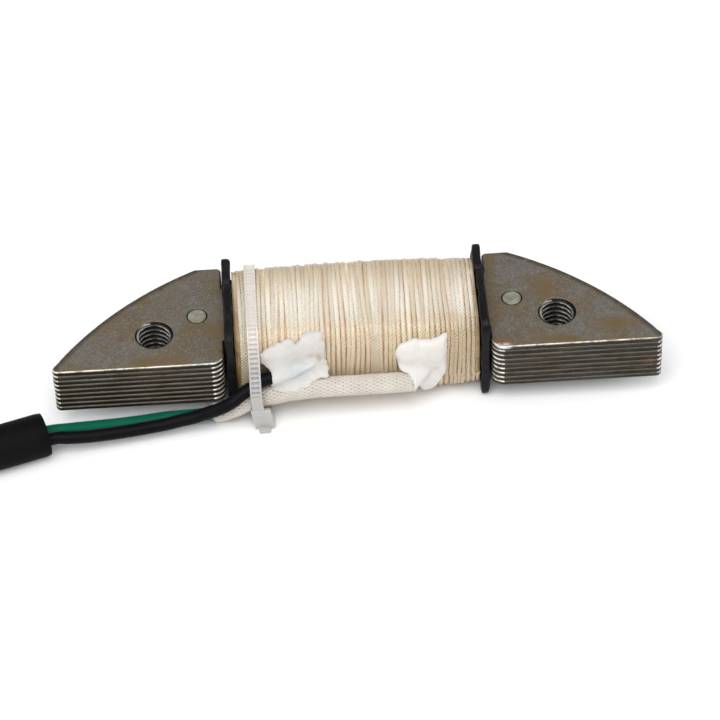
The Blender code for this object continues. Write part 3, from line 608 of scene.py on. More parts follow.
def clear_pvc_material():
    """Soft clear vinyl, a little cloudy."""
    colours = (0.86, 0.88, 0.86), (0.78, 0.79, 0.76)
    clear = {"IOR": 1.53, "Transmission_Weight": 0.85, "Alpha": 0.55}
    return two_tone("clear_vinyl", colours, 500.0, (0.12, 0.26), (0.04, 0.4), detail=3.0, **clear)


def add_leads():
    black = pvc("black_lead_pvc", (0.004, 0.004, 0.005), 0.36)
    green = pvc("green_lead_pvc", (0.003, 0.1, 0.058), 0.36, mottle=0.15)
    sheath = pvc("sheath_pvc", (0.003, 0.003, 0.0035), 0.55)
    brass = brass_material()
    clear = clear_pvc_material()
    black_end = add_terminal("black", BLACK_TAIL_ROUTE, brass, clear)
    green_end = add_terminal("green", GREEN_TAIL_ROUTE, brass, clear)
    add_lead("black", whole_lead(BLACK_ROUTE, BLACK_TAIL_ROUTE, -1.25, -0.4), black)
    add_lead("green", whole_lead(GREEN_ROUTE, GREEN_TAIL_ROUTE, 1.25, -0.65), green)
    add_sheath(sheath)


# ---------------------------------------------------------------- core


STEEL_GREY = (0.285, 0.268, 0.245)
STEEL_BROWN = (0.26, 0.202, 0.13)
STEEL_DARK = (0.14, 0.12, 0.095)
STEEL_PALE = (0.44, 0.405, 0.35)
STAIN_GOLD = (0.235, 0.165, 0.078)
RUST = (0.2, 0.075, 0.02)
RUST_BRIGHT = (0.36, 0.15, 0.035)
CHIP = (0.62, 0.62, 0.63)
CHIP_X = POLE_INNER_X + 1.9
CHIP_HALF_LENGTH = 1.15
CUT_DARK = (0.018, 0.016, 0.013)
CUT_LIGHT = (0.053, 0.048, 0.041)
# Stains, as a place and its reach along each axis.
GOLD_STAINS = [
    ((31.3, 13.2, STACK_HEIGHT), (3.2, 4.5, 3.0)),
    ((42.5, 4.0, STACK_HEIGHT), (5.5, 2.5, 3.0)),
    ((33.5, 1.2, STACK_HEIGHT), (6.0, 1.8, 3.0)),
    ((-23.6, 8.0, STACK_HEIGHT), (2.6, 2.6, 3.0)),
    ((-35.3, 15.9, STACK_HEIGHT), (4.0, 2.2, 3.0)),
    ((-33.0, 1.4, STACK_HEIGHT), (7.0, 2.0, 3.0)),
]
SIDE_RUST = ((47.8, 0.0, 3.6), (2.2, 1.0, 1.1))
SIDE_DIRT = ((43.0, 0.0, 4.6), (1.2, 1.0, 1.4))
# Worn steel on the sheets' rounded edges, bright enough to be a painted highlight at the tips and inner
# corners.
EDGE_WORN_AND_GLINT = (0.85, 0.81, 0.74)


def steel_material():
    """Oiled, faintly rusted lamination steel.

    Its marks: worn-bright rounded edges with a painted highlight, strongest at the pole tips and inner
    corners, side on the cut edge, and chipped and rusty by the chip.
    """
    n = Nodes("lamination_steel")
    x = n.axis("X")
    y = n.axis("Y")
    cloud = n.noise(150.0, 6.0, 0.6, distortion=0.6)
    fine = n.noise(900.0, 5.0, 0.65)
    grain = n.noise(5200.0, 3.0)
    base = n.mix(n.span(cloud, 0.4, 0.6), STEEL_GREY, STEEL_BROWN)
    base = n.mix(n.span(fine, 0.38, 0.72, 0.0, 0.5), base, STEEL_DARK)
    base = n.mix(n.span(grain, 0.44, 0.58, 0.0, 0.7), base, STEEL_DARK)
    base = n.mix(n.span(n.noise(3300.0, 4.0, 0.75), 0.52, 0.66, 0.0, 0.6), base, STEEL_PALE)
    # Oil varnish and rust bloom gather by the front edge, the arch, the bobbin and the rivets.
    front = n.span(y, CORE.y, CORE.y + 3.2 * MM, 1.0, 0.0)
    from_centre = n.distance(x, y, 0.0, ARCH_CENTRE_Y)
    arch = n.span(from_centre, (ARCH_RADIUS - 3.0) * MM, ARCH_RADIUS * MM)
    aside = n.math("ABSOLUTE", x)
    inner = n.span(aside, POLE_INNER_X * MM, (POLE_INNER_X + 3.5) * MM, 1.0, 0.0)
    rivet = n.span(n.distance(aside, y, RIVET_X + 0.6, RIVET_Y - 1.6), 0.8 * MM, 4.2 * MM, 1.0, 0.0)
    edges = n.math("MAXIMUM", n.math("MAXIMUM", front, arch), n.math("MAXIMUM", inner, rivet))
    patches = n.noise(210.0, 6.0, 0.62, distortion=1.4)
    stain = n.math("ADD", patches, n.times(edges, 0.2))
    base = n.mix(n.span(stain, 0.54, 0.8, 0.0, 0.6), base, STAIN_GOLD)
    for centre, reach in GOLD_STAINS:
        base = n.mix(n.times(n.near(centre, reach), n.span(patches, 0.36, 0.48)), base, STAIN_GOLD)
    base = n.mix(n.span(n.times(stain, n.noise(700.0, 4.0)), 0.42, 0.56, 0.0, 0.5), base, RUST)
    base = n.mix(n.times(n.mark("rusty"), n.span(fine, 0.34, 0.46)), base, RUST_BRIGHT)
    # The arch's edge is dark with oil.
    burr = n.span(from_centre, (ARCH_RADIUS - 1.3) * MM, (ARCH_RADIUS - 0.5) * MM, 0.0, 0.65)
    base = n.mix(n.times(burr, n.span(fine, 0.3, 0.5, 0.4, 1.0)), base, CUT_LIGHT)
    cut = n.mix(n.span(n.noise(330.0, 5.0, stretch=(0.5, 1.0, 3.0)), 0.35, 0.7), CUT_DARK, CUT_LIGHT)
    cut = n.mix(n.span(n.noise(230.0, 4.0), 0.66, 0.8, 0.0, 0.4), cut, RUST)
    cut = n.mix(n.times(n.near(*SIDE_RUST), n.span(fine, 0.4, 0.55, 0.0, 0.7)), cut, RUST)
    cut = n.mix(n.times(n.near(*SIDE_DIRT), n.span(fine, 0.3, 0.45, 0.3, 1.0)), cut, CUT_DARK)
    base = n.mix(n.mark("side"), base, cut)
    # Rounded edges painted as worn steel with a painted highlight, strongest at the pole tips and inner
    # corners.
    bright = n.times(n.mark("wear_and_glint"), n.span(n.noise(900.0, 5.0), 0.36, 0.58, 0.2, 1.0))
    base = n.mix(bright, base, EDGE_WORN_AND_GLINT)
    base = n.mix(n.mark("chipped"), base, CHIP)
    rough = n.span(cloud, 0.3, 0.7, 0.36, 0.5)
    rough = n.math("SUBTRACT", rough, n.times(bright, 0.12))
    relief = n.bump(grain, 0.02, 0.8, under=n.bump(fine, 0.04, 0.6))
    return n.finish(Base_Color=base, Metallic=0.82, Roughness=rough, Normal=relief)


def sheet_outline():
    """A whole sheet: the right pole anticlockwise, the neck's rear, the left pole, the neck's front."""
    corner = INNER_CORNER_RADIUS
    pole = arc((POLE_INNER_X + corner, corner), corner, 180, 270, 12)
    front_start = POLE_INNER_X + corner
    front_end = POLE_TIP_X - TIP_RADIUS
    # The points stand closer by the inner corner, where one sheet is chipped.
    front_steps = 40
    for step in range(1, front_steps):
        share = step / front_steps
        pole.append((front_start + (front_end - front_start) * (0.35 * share + 0.65 * share**3), 0.0))
    tip_end_angle = 40.0
    pole += arc((front_end, TIP_RADIUS), TIP_RADIUS, 270, 360 + tip_end_angle, 12)
    start = math.atan2(POLE_REAR_Y - ARCH_CENTRE_Y, POLE_CORNER_X)
    tip_top_y = TIP_RADIUS + TIP_RADIUS * math.sin(math.radians(tip_end_angle))
    end = math.asin((tip_top_y - ARCH_CENTRE_Y) / ARCH_RADIUS)
    pole += arc((0.0, ARCH_CENTRE_Y), ARCH_RADIUS, math.degrees(end), math.degrees(start), 40)[1:]
    rear = REAR_CORNER_RADIUS
    pole += arc((POLE_INNER_X + rear, POLE_REAR_Y - rear), rear, 90, 180, 6)
    right = [(POLE_INNER_X, NECK_FRONT_Y)] + pole + [(POLE_INNER_X, NECK_REAR_Y)]
    left = [(-x, y) for x, y in reversed(right)]
    return np.array(right + left)


RIM_WIDTH = 0.7
# Across a sheet's edge, from the flat top to the flat underside: distance inside the outline, height
# below the top, wear with a painted highlight, and how much it belongs to the cut side.
PUNCHED_EDGE = [
    (1.9, 0.0, 0.0, 0.0), (1.4, 0.0, 0.0, 0.0), (1.0, 0.0, 0.0, 0.0), (RIM_WIDTH, 0.0, 0.0, 0.0),
    (0.36, 0.0, 0.0, 0.0), (0.24, 0.012, 0.12, 0.0), (0.14, 0.05, 0.7, 0.0), (0.06, 0.12, 1.0, 0.15),
    (0.015, 0.21, 0.45, 0.7), (0.0, 0.32, 0.0, 1.0), (0.0, 0.74, 0.0, 1.0), (0.05, 0.86, 0.15, 1.0),
    (0.16, 1.0, 0.0, 1.0), (0.6, 1.0, 0.0, 1.0),
]
HOLE_EDGE = [(0.5, 0, 0, 0), (0.06, 0, 0, 0), (0.0, 0.04, 0.1, 0.1), (0.0, 1, 0, 1), (0.5, 1, 0, 1)]
NICKED_WIDTH = 0.3
SHEET_MARKS = ["wear_and_glint", "side", "chipped", "rusty"]
# The chip: how far it reaches in, how far it sinks, the height in the sheet below which it stops, and
# the size of the ring of rust round it as a share of the chip's.
CHIP_DEPTH = 0.75
CHIP_DROP = 0.22
CHIP_FLOOR = 0.45
RUST_RING = 1.1


def inset(outline, depth):
    """The outline moved inwards. It runs anticlockwise.

    Past the sheet's rim the lines spread only round the chip, because they would cross in a narrow tip.
    """
    chip_reach = 3.2
    least_spread = 0.04
    by_chip = np.exp(-(((outline[:, 0] - CHIP_X) / chip_reach) ** 4)) * (outline[:, 1] < INNER_CORNER_RADIUS)
    spread = least_spread + (1 - least_spread) * by_chip
    depth = np.where(depth > RIM_WIDTH, RIM_WIDTH + (depth - RIM_WIDTH) * spread, depth)
    before = np.roll(outline, 1, axis=0)
    after = np.roll(outline, -1, axis=0)
    normals = []
    for towards in (outline - before, after - outline):
        towards = towards / np.linalg.norm(towards, axis=1)[:, None]
        normals.append(np.stack([-towards[:, 1], towards[:, 0]], 1))
    normal = normals[0] + normals[1]
    normal /= np.linalg.norm(normal, axis=1)[:, None]
    stretch = 1.0 / np.maximum(0.5, (normal * normals[0]).sum(1))
    return outline + normal * (depth * stretch)[:, None]


def edge_wear_and_glint(x, y, top_sheet):
    """How much a sheet's edge is worn bright here, with a painted highlight at tips and inner corners, and
    how dark its rolled rim is.
    """
    if y > INNER_CORNER_RADIUS:
        return 0.0, 1.0
    inner_corner = abs(x) < POLE_INNER_X + INNER_CORNER_RADIUS
    tip = abs(x) > POLE_TIP_X - TIP_RADIUS
    # The inner corners and tips get the strongest painted highlight.
    if inner_corner or tip:
        return 1.0, 0.0
    return (0.6, 0.0) if top_sheet else (0.03, 0.75)


def sheet_band(bm, rings, corner, top_sheet):
    """Joins rings of (points, height, wear, side) into a band, and gives its first and last ring.

    corner is where the sheet's own origin lies in the core.
    """
    marks = {name: bm.verts.layers.float[name] for name in SHEET_MARKS}
    made = []
    for points, height, wear_and_glint, side in rings:
        ring = []
        for x, y in points:
            rubbed_and_glint, dark = edge_wear_and_glint(x, y, top_sheet)
            # The right pole's top sheet is chipped and rusty at its inner front corner.
            along_chip = (x - CHIP_X) / CHIP_HALF_LENGTH
            near = math.exp(-(along_chip**4)) * (y < CHIP_DEPTH) * top_sheet * (height > CHIP_FLOOR)
            from_ring = math.hypot(along_chip, (y - 0.3) / 0.9) - RUST_RING
            sunk = CHIP_DROP * near * (0.7 + 0.3 * roughly(x * 2.3, y * 2.3, 1.0, 6.0))
            vertex = bm.verts.new(place((x + corner[0], y + corner[1], corner[2] + height - sunk)))
            vertex[marks["wear_and_glint"]] = wear_and_glint * rubbed_and_glint * (1 - near)
            vertex[marks["side"]] = max(side, dark * min(1.0, 4 * wear_and_glint))
            vertex[marks["chipped"]] = near
            vertex[marks["rusty"]] = math.exp(-(from_ring**2) / 0.12) * top_sheet * (height > 0.9)
            ring.append(vertex)
        made.append(ring)
    for ring, following in zip(made, made[1:]):
        for here in range(len(ring)):
            after = (here + 1) % len(ring)
            bm.faces.new((ring[here], ring[after], following[after], following[here]))
    return made[0], made[-1]


def add_laminations(steel):
    """Punched sheets with rolled-over upper edges, each stacked a few hundredths of a mm out of line."""
    outline = sheet_outline()
    holes = [
        (SCREW_HOLE_X, SCREW_HOLE_Y, THREAD_MAJOR_RADIUS + 0.02, 56),
        (RIVET_X, RIVET_Y, RIVET_RADIUS + 0.14, 36),
    ]
    for index in range(SHEETS):
        bm = bmesh.new()
        for name in SHEET_MARKS:
            bm.verts.layers.float.new(name)
        corner = (
            0.05 * roughly(index * 1.7, 0.3, 0.0),
            0.045 * roughly(index * 1.3, 5.0, 0.0),
            index * SHEET_PITCH,
        )
        top_sheet = index == SHEETS - 1
        rings = []
        for depth, drop, wear_and_glint, side in PUNCHED_EDGE:
            uneven = []
            for x, y in inset(outline, depth):
                nick = 0.03 * roughly(x * 1.1, y * 1.1, index * 3.0, 9.0)
                uneven.append((x, y + nick * (depth < NICKED_WIDTH)))
            rings.append((uneven, SHEET_THICKNESS * (1 - drop), wear_and_glint, side))
        loops = [sheet_band(bm, rings, corner, top_sheet)]
        for side_x in (-1, 1):
            for x, y, radius, columns in holes:
                rings = []
                for depth, drop, wear_and_glint, side in HOLE_EDGE:
                    circle = arc((side_x * x, y), radius + depth, 0, 360, columns)[:-1]
                    rings.append((circle, SHEET_THICKNESS * (1 - drop), wear_and_glint, side))
                loops.append(sheet_band(bm, rings, corner, top_sheet))
        for face_of in (0, 1):
            edges = []
            for ring in (pair[face_of] for pair in loops):
                for here, vertex in enumerate(ring):
                    edges.append(bm.edges.get((vertex, ring[(here + 1) % len(ring)])))
            bmesh.ops.triangle_fill(bm, use_beauty=True, edges=edges, normal=(0.0, 0.0, 1.0))
        name = f"lamination_{index + 1}"
        mesh = bpy.data.meshes.new(f"{name}_punched")
        finish_mesh(bm, mesh, sharp_angle=60)
        add_piece(mesh.name, mesh, steel, [name])


def thread_material():
    """Freshly tapped steel: bright thread ridges with a painted highlight, and roots painted near black as
    painted shade in the hole.
    """
    n = Nodes("tapped_steel", Metallic=0.9, Specular_IOR_Level=0.15)
    crest_glint = n.mark("crest_glint")
    streak = n.noise(900.0, 3.0, stretch=(1.0, 1.0, 4.0))
    # The roots' near-black is painted shade inside the hole.
    root = n.mix(streak, (0.005, 0.0047, 0.004), (0.018, 0.016, 0.013))
    return n.finish(
        Base_Color=n.mix(crest_glint, root, (0.8, 0.78, 0.72)),
        Roughness=n.span(crest_glint, 0.0, 1.0, 0.5, 0.24),
        Normal=n.bump(streak, 0.03, 0.5),
    )


def lip_glint(angle):
    """Light catches the rear of the hole's mouth."""
    return 0.6 * max(0.0, math.sin(angle)) ** 3


def add_screw_threads(material):
    """The tapped hole of each pole: one right-hand helix through the stack, under a chamfered mouth."""
    columns = 72
    row_height = 0.085
    chamfer = 0.17
    rows = round(STACK_HEIGHT / row_height)
    for name, side_x in (("screw_thread_left", -1), ("screw_thread_right", 1)):
        points = []
        crest_glints = []
        for row in range(rows + 1):
            z = STACK_HEIGHT * row / rows
            for column, angle in enumerate(ring_angles(columns)):
                turn = ((z - STACK_HEIGHT) / THREAD_PITCH - column / columns + 0.25) % 1.0
                flank = abs(2 * turn - 1)
                depth = clamped((flank - 0.12) / 0.72)
                radius = THREAD_MINOR_RADIUS + (THREAD_MAJOR_RADIUS - THREAD_MINOR_RADIUS) * depth
                from_face = min(z, STACK_HEIGHT - z)
                mouth = THREAD_MAJOR_RADIUS - 1.1 * from_face if from_face < chamfer else 0.0
                # Painted highlight: the crests are painted bright at the hole's left and right, and dim
                # towards its front and rear.
                side_highlight = 0.06 + 0.94 * abs(math.cos(angle)) ** 1.3
                crest_glint = (1.0 - depth) ** 7 * side_highlight
                if mouth > radius:
                    radius = mouth
                    crest_glint = lip_glint(angle)
                points.append((radius * math.cos(angle), radius * math.sin(angle), z))
                crest_glints.append(crest_glint)
        outer = THREAD_MAJOR_RADIUS + 0.01
        for z in (STACK_HEIGHT, 0.0):
            for angle in ring_angles(columns):
                points.append((outer * math.cos(angle), outer * math.sin(angle), z))
                crest_glints.append(lip_glint(angle))
        points = np.array(points) + (side_x * SCREW_HOLE_X, SCREW_HOLE_Y, 0.0)
        faces = looped_faces(rows + 3, columns)
        add_mesh(name, points, faces, material, marks={"crest_glint": crest_glints}, sharp_angle=45)


def rivet_material():
    n = Nodes("rivet_steel", Metallic=0.75)
    cloud = n.noise(700.0, 5.0, 0.65)
    fleck = n.noise(2600.0, 3.0)
    base = n.mix(n.span(cloud, 0.35, 0.7), (0.46, 0.45, 0.36), (0.27, 0.25, 0.18))
    base = n.mix(n.mark("rim"), base, (0.035, 0.032, 0.028))
    return n.finish(
        Base_Color=base,
        Roughness=n.span(cloud, 0.3, 0.7, 0.38, 0.55),
        Normal=n.bump(fleck, 0.03, 0.7, under=n.bump(cloud, 0.09, 0.8)),
    )


def add_rivets(material):
    """Flush pins: the struck ends are faintly dished and their rims are a dark line."""
    profile = [
        (0.03, 0.0, 0.0), (0.0, 0.45, 0.0), (-0.02, 0.9, 0.0), (-0.01, 1.3, 0.0),
        (0.02, RIVET_RADIUS - 0.12, 0.15), (0.06, RIVET_RADIUS - 0.04, 0.8), (0.16, RIVET_RADIUS, 1.0),
    ]
    columns = 40
    for name, side_x in (("rivet_left", -1), ("rivet_right", 1)):
        rings = [(STACK_HEIGHT - drop, radius, rim) for drop, radius, rim in profile]
        rings += [(drop, radius, rim) for drop, radius, rim in reversed(profile)]
        points = []
        rims = []
        for z, radius, rim in rings:
            for angle in ring_angles(columns):
                x = radius * math.cos(angle)
                y = radius * math.sin(angle)
                dent = 0.025 * roughly(x * 1.6, y * 1.6, z, side_x * 3.0)
                points.append((side_x * RIVET_X + x, RIVET_Y + y, z + dent))
                rims.append(rim)
        add_mesh(
            f"{name}_struck",
            points,
            grid_faces(len(rings), columns),
            material,
            [name],
            marks={"rim": rims},
        )


# ---------------------------------------------------------------- bobbin


def nylon_material():
    """Black glass-filled nylon: satin, scuffed, with a few dusty marks."""
    n = Nodes("black_nylon", Specular_IOR_Level=0.12)
    cloud = n.noise(330.0, 4.0)
    grain = n.noise(3800.0, 3.0)
    scuff = n.span(n.noise(1300.0, 5.0, stretch=(0.4, 1.0, 1.0)), 0.58, 0.78)
    base = n.mix(n.span(cloud, 0.3, 0.7), (0.004, 0.004, 0.0045), (0.009, 0.009, 0.0088))
    base = n.mix(n.times(scuff, 0.5), base, (0.05, 0.05, 0.047))
    return n.finish(
        Base_Color=base,
        Roughness=n.span(cloud, 0.25, 0.75, 0.34, 0.55),
        Normal=n.bump(grain, 0.03, 0.6, under=n.bump(cloud, 0.16, 0.7)),
    )


def channel_outline(half_depth, half_height, corner, split_y, towards, steps=84):
    """Outer contour of a bobbin half, from the split at the top round to the split below, evenly spaced."""
    outer_y = COIL_CENTRE_Y + towards * half_depth
    top = COIL_CENTRE_Z + half_height
    bottom = COIL_CENTRE_Z - half_height
    upper = arc((outer_y - towards * corner, top - corner), corner, 90, 90 - towards * 90, 7)
    lower = arc((outer_y - towards * corner, bottom + corner), corner, 270 + towards * 90, 270, 7)
    return evenly(np.array([(split_y, top)] + upper + lower + [(split_y, bottom)]), steps + 1)


def bore_contour(split_y, towards, count):
    """Bore of a bobbin half, with as many points as its outer contour."""
    top = STACK_HEIGHT + BORE_GAP
    bore_y = NECK_FRONT_Y - BORE_GAP if towards < 0 else NECK_REAR_Y + BORE_GAP
    contour = np.array([(split_y, top), (bore_y, top), (bore_y, -BORE_GAP), (split_y, -BORE_GAP)])
    lengths = lengths_along(contour)
    wanted = np.linspace(0.0, lengths[-1], count)
    for length in lengths[1:-1]:
        wanted[np.argmin(abs(wanted - length))] = length
    return points_at(wanted, contour)


def drawn_in(contour, depth):
    """A half's contour moved inwards, more at its ends, where the moulding's corners are round."""
    share = np.linspace(0.0, 1.0, len(contour))
    at_split = np.clip(np.minimum(share, 1 - share) / 0.05, 0.0, 1.0)
    round_end = 0.75 * (1 - np.sqrt(np.maximum(0.0, 1 - (1 - at_split) ** 2)))
    inward = np.array([COIL_CENTRE_Y, COIL_CENTRE_Z]) - contour
    inward /= np.linalg.norm(inward, axis=1)[:, None]
    return contour + inward * (depth + round_end)[:, None]


def cheek_ring(x, contour, depth):
    """The points round a cheek at this X, with the waves of its rim. depth is the rim's rounding."""
    waves = []
    for y, z in contour:
        lump = roughly(y * 0.23, z * 0.23, x * 0.5, 7.0) + 0.5 * roughly(y * 0.9, z * 0.9, x, 2.0)
        waves.append(0.26 * lump + 0.1)
    outwards = np.sign(x)
    across = (CHEEK_OUTER_X - abs(x)) / CHEEK_WIDTH
    ring = []
    for y, z in drawn_in(contour, np.maximum(0.0, np.array(waves) + depth)):
        # The faces are wavy too. The outer one only sinks, because the pole is beside it.
        outer_dip = 0.14 + 0.24 * roughly(y * 0.33, z * 0.33, outwards * 3.0, 11.0)
        inner_dip = 0.32 * roughly(y * 0.38, z * 0.38, outwards * 5.0, 17.0)
        dip = (1 - across) * max(0.0, outer_dip) + across * inner_dip
        ring.append((x - outwards * dip, y, z))
    return ring


def add_bobbin_half(name, split_y, towards, cheek_shift, material):
    """A moulded half: cheeks with soft, slightly wavy rims, joined by the tube under the winding.

    cheek_shift moves each cheek along X, because the halves don't close quite in line.
    """
    cheek = channel_outline(CHEEK_HALF_DEPTH, CHEEK_HALF_HEIGHT, CHEEK_CORNER, split_y, towards)
    count = len(cheek)
    bore = bore_contour(split_y, towards, count)
    tube_half_depth = (NECK_REAR_Y - NECK_FRONT_Y) / 2 + BORE_GAP + TUBE_WALL
    tube = channel_outline(tube_half_depth, STACK_HEIGHT / 2 + BORE_GAP + TUBE_WALL, 0.4, split_y, towards)
    tube[:, 1] += STACK_HEIGHT / 2 - COIL_CENTRE_Z
    # A quarter turn round the rim, as distances from the cheek's face and in from its outline.
    rim = 0.32
    turns = [math.pi / 2 * step / 6 for step in range(7)]
    edge = [(rim * (1 - math.sin(turn)), rim * (1 - math.cos(turn))) for turn in turns]
    stations = []
    for side_x in (-1, 1):
        outer = CHEEK_OUTER_X + side_x * cheek_shift[side_x]
        inner = CHEEK_INNER_X + side_x * cheek_shift[side_x]
        rings = [(outer - along, depth) for along, depth in edge[::-1]]
        rings += [(x, 0.0) for x in np.linspace(outer - rim, inner + rim, 4)[1:-1]]
        rings += [(inner + along, depth) for along, depth in edge]
        half = [(side_x * x, cheek_ring(side_x * x, cheek, depth)) for x, depth in rings]
        half.append((side_x * inner, [(side_x * inner, y, z) for y, z in tube]))
        stations += half if side_x < 0 else half[::-1]
    points = []
    for x, ring in stations:
        points += ring + [(x, y, z) for y, z in bore[::-1]]
    faces = closed_faces(len(stations), 2 * count)
    add_mesh(f"{name}_moulded", points, faces, material, [name], sharp_angle=50)


# ---------------------------------------------------------------- winding


def bulge(x):
    return 1.0 - (min(1.0, abs(x) / WINDING_END_X)) ** BULGE_POWER


def cover_half_sizes(x):
    return END_HALF_DEPTH + DEPTH_BULGE * bulge(x), END_HALF_HEIGHT + HEIGHT_BULGE * bulge(x)


def around_cover(x, share):
    """Point, and outward direction, in Y and Z, at a share of the way round the cover.

    The way starts low on the front and goes up, over the top, down the rear and back underneath.
    """
    half_depth, half_height = cover_half_sizes(x)
    flat_depth = half_depth - COVER_CORNER
    flat_height = half_height - COVER_CORNER
    quarter = COVER_CORNER * math.pi / 2
    legs = [2 * flat_height, quarter, 2 * flat_depth, quarter] * 2
    left = (share % 1.0) * sum(legs)
    for leg, length in enumerate(legs):
        if left <= length or leg == len(legs) - 1:
            break
        left -= length
    quarter_turn = leg // 2
    # Each pair of legs is the first pair turned: front and upper front corner, top and upper rear corner...
    outward = [(-1, 0), (0, 1), (1, 0), (0, -1)][quarter_turn]
    onward = [(0, 1), (1, 0), (0, -1), (-1, 0)][quarter_turn]
    across = flat_depth if quarter_turn % 2 == 0 else flat_height
    ahead = flat_height if quarter_turn % 2 == 0 else flat_depth
    if leg % 2 == 0:
        y = outward[0] * (across + COVER_CORNER) + onward[0] * (left - ahead)
        z = outward[1] * (across + COVER_CORNER) + onward[1] * (left - ahead)
        return COIL_CENTRE_Y + y, COIL_CENTRE_Z + z, outward[0], outward[1]
    turn = left / COVER_CORNER
    ny = outward[0] * math.cos(turn) + onward[0] * math.sin(turn)
    nz = outward[1] * math.cos(turn) + onward[1] * math.sin(turn)
    y = outward[0] * across + onward[0] * ahead + COVER_CORNER * ny
    z = outward[1] * across + onward[1] * ahead + COVER_CORNER * nz
    return COIL_CENTRE_Y + y, COIL_CENTRE_Z + z, ny, nz


def how_low(share):
    """1 low on the front, where the turns lie loosely, down to 0 at the upper rear."""
    return 0.5 - 0.5 * math.cos(2 * math.pi * (share + 0.42))


def skin_lump(x, share):
    """How far the layers below push the cover out, in mm: the winding beneath isn't even."""
    wide = roughly(x * 0.3, share * 9.0, 0.0, 21.0)
    narrow = roughly(x * 1.3, share * 5.0, 3.0, 33.0)
    on_top = math.exp(-(((share - 0.35) / 0.12) ** 2))
    return 0.19 * wide + (0.1 + 0.32 * on_top) * narrow - 0.02


THREAD_SHEEN_IVORY = (0.98, 0.9, 0.8)
THREAD_CREAM = (0.73, 0.61, 0.45)
THREAD_DARKENED = (0.45, 0.355, 0.23)
THREAD_TAN = (0.5, 0.36, 0.2)
THREAD_GROOVE_LIGHT = (0.97, 0.82, 0.62)
THREAD_RECESS_SHADE = (0.1, 0.05, 0.022)
# Where the turns part beside the left cheek, where the black lead comes out of the silicone, and how far
# round the cover the painted highlight is brightest.
LEFT_GAP_X = -19.7
LEAD_EXIT_X = -15.6
SHEEN_SHARE = 0.262


def cotton_material():
    """Varnished cotton thread.

    Its marks: a painted highlight along the upper front; a darker, yellower tone, painted shade over the
    upper rear and also laid low on the front towards the right cheek; tint for the odd darker turn and for
    painted shade low on the front; ply in the grooves between its strands, painted darker there as painted
    shade; painted light on the thread's undersides between the turns; and painted shade in the recess where
    the black lead comes out and in the gap beside the left cheek.
    """
    depths = see_through(0.45, (1.0, 0.6, 0.3), 0.5)
    n = Nodes("varnished_thread", Coat_Weight=0.9, Coat_Roughness=0.18, **depths)
    fibre = n.noise(5200.0, 3.0, 0.6, stretch=(1.0, 0.35, 0.35))
    cloud = n.noise(170.0, 4.0, 0.6)
    # Painted shade over the upper rear; also darker and yellower low on the front towards the right cheek.
    base = n.mix(n.mark("darkened"), THREAD_CREAM, THREAD_DARKENED)
    # Painted highlight: the thread is painted near white along the upper front.
    base = n.mix(n.mark("painted_sheen"), base, THREAD_SHEEN_IVORY)
    # Odd turns are darker at random, and low on the front the thread is painted darker as painted shade.
    base = n.mix(n.mark("tint"), base, THREAD_TAN)
    base = n.mix(n.span(fibre, 0.4, 0.75, 0.0, 0.2), base, THREAD_TAN)
    # The grooves between the plies are painted darker, as painted shade.
    base = n.mix(n.span(n.mark("ply"), 0.45, 1.0, 0.0, 0.4), base, THREAD_TAN)
    # Painted light: the thread's undersides between the turns are painted lighter and warmer.
    base = n.mix(n.mark("groove_light"), base, THREAD_GROOVE_LIGHT)
    # Painted shade in the recess at the black lead's exit and in the gap beside the left cheek.
    base = n.mix(n.mark("recess_shade"), base, THREAD_RECESS_SHADE)
    twist = n.bump(n.span(n.mark("ply"), 0.0, 1.0, 1.0, 0.0), 0.12, 1.0)
    return n.finish(
        Base_Color=base,
        Roughness=n.span(cloud, 0.3, 0.7, 0.42, 0.62),
        Normal=n.bump(fibre, 0.04, 0.8, under=twist),
    )


def strayed(even, turn, share):
    """Where the thread lies along X, from where it would lie if it were wound evenly."""
    low = how_low(share)
    x = even + 0.26 * roughly(even * 0.55, share * 2.2, 0.0, 3.0)
    x += 0.06 * roughly(turn * 0.9, 0.0, 0.0, 8.0)
    # Low on the front and underneath, the turns were laid more loosely and wander.
    x += 0.35 * low**2 * roughly(even * 0.8, share * 3.0, 6.0, 5.0)
    x += 0.9 * low**2 * roughly(even * 0.28, share * 2.0, 2.0, 15.0)
    # A gap between two turns beside the left cheek.
    from_gap = even - LEFT_GAP_X
    return x + math.copysign(0.3, from_gap) * low * math.exp(-((from_gap / 1.2) ** 2))


def thread_shades(x, turn, share):
    """How much painted highlight, darkening, tint and painted recess shade the thread has at this place."""
    low = how_low(share)
    # Painted highlight along the upper front, in streaks that differ from turn to turn.
    from_sheen = share - SHEEN_SHARE
    if from_sheen > 0:
        painted_sheen = math.exp(-((from_sheen / 0.112) ** 2))
    else:
        painted_sheen = math.exp(-abs(from_sheen / 0.07) ** 3)
    painted_sheen *= 1 + 0.3 * roughly(turn * 2.3, share * 1.6, 7.0)
    # Darker and yellower over the upper rear, as painted shade, and low on the front towards the right
    # cheek.
    darkened = math.exp(-(((share - 0.44) / 0.125) ** 2)) + 0.9 * low / (1 + math.exp((13.0 - x) / 0.8))
    # Odd turns are darker at random; low on the front all turns are painted darker, as painted shade.
    tint = 0.1 + 0.2 * low**2 + 0.65 * roughly(turn * 1.9, share * 1.1, 2.0)
    # Painted shade: the turns are painted dark brown in the recess where the black lead comes out of the
    # silicone, and in the gap beside the left cheek.
    recess_shade = 0.9 * math.exp(-(((x - LEAD_EXIT_X) / 0.9) ** 4)) * (share < 0.09)
    recess_shade += 0.4 * math.exp(-(((x - LEFT_GAP_X) / 0.5) ** 2)) * (share < 0.06)
    return painted_sheen, darkened, tint, recess_shade


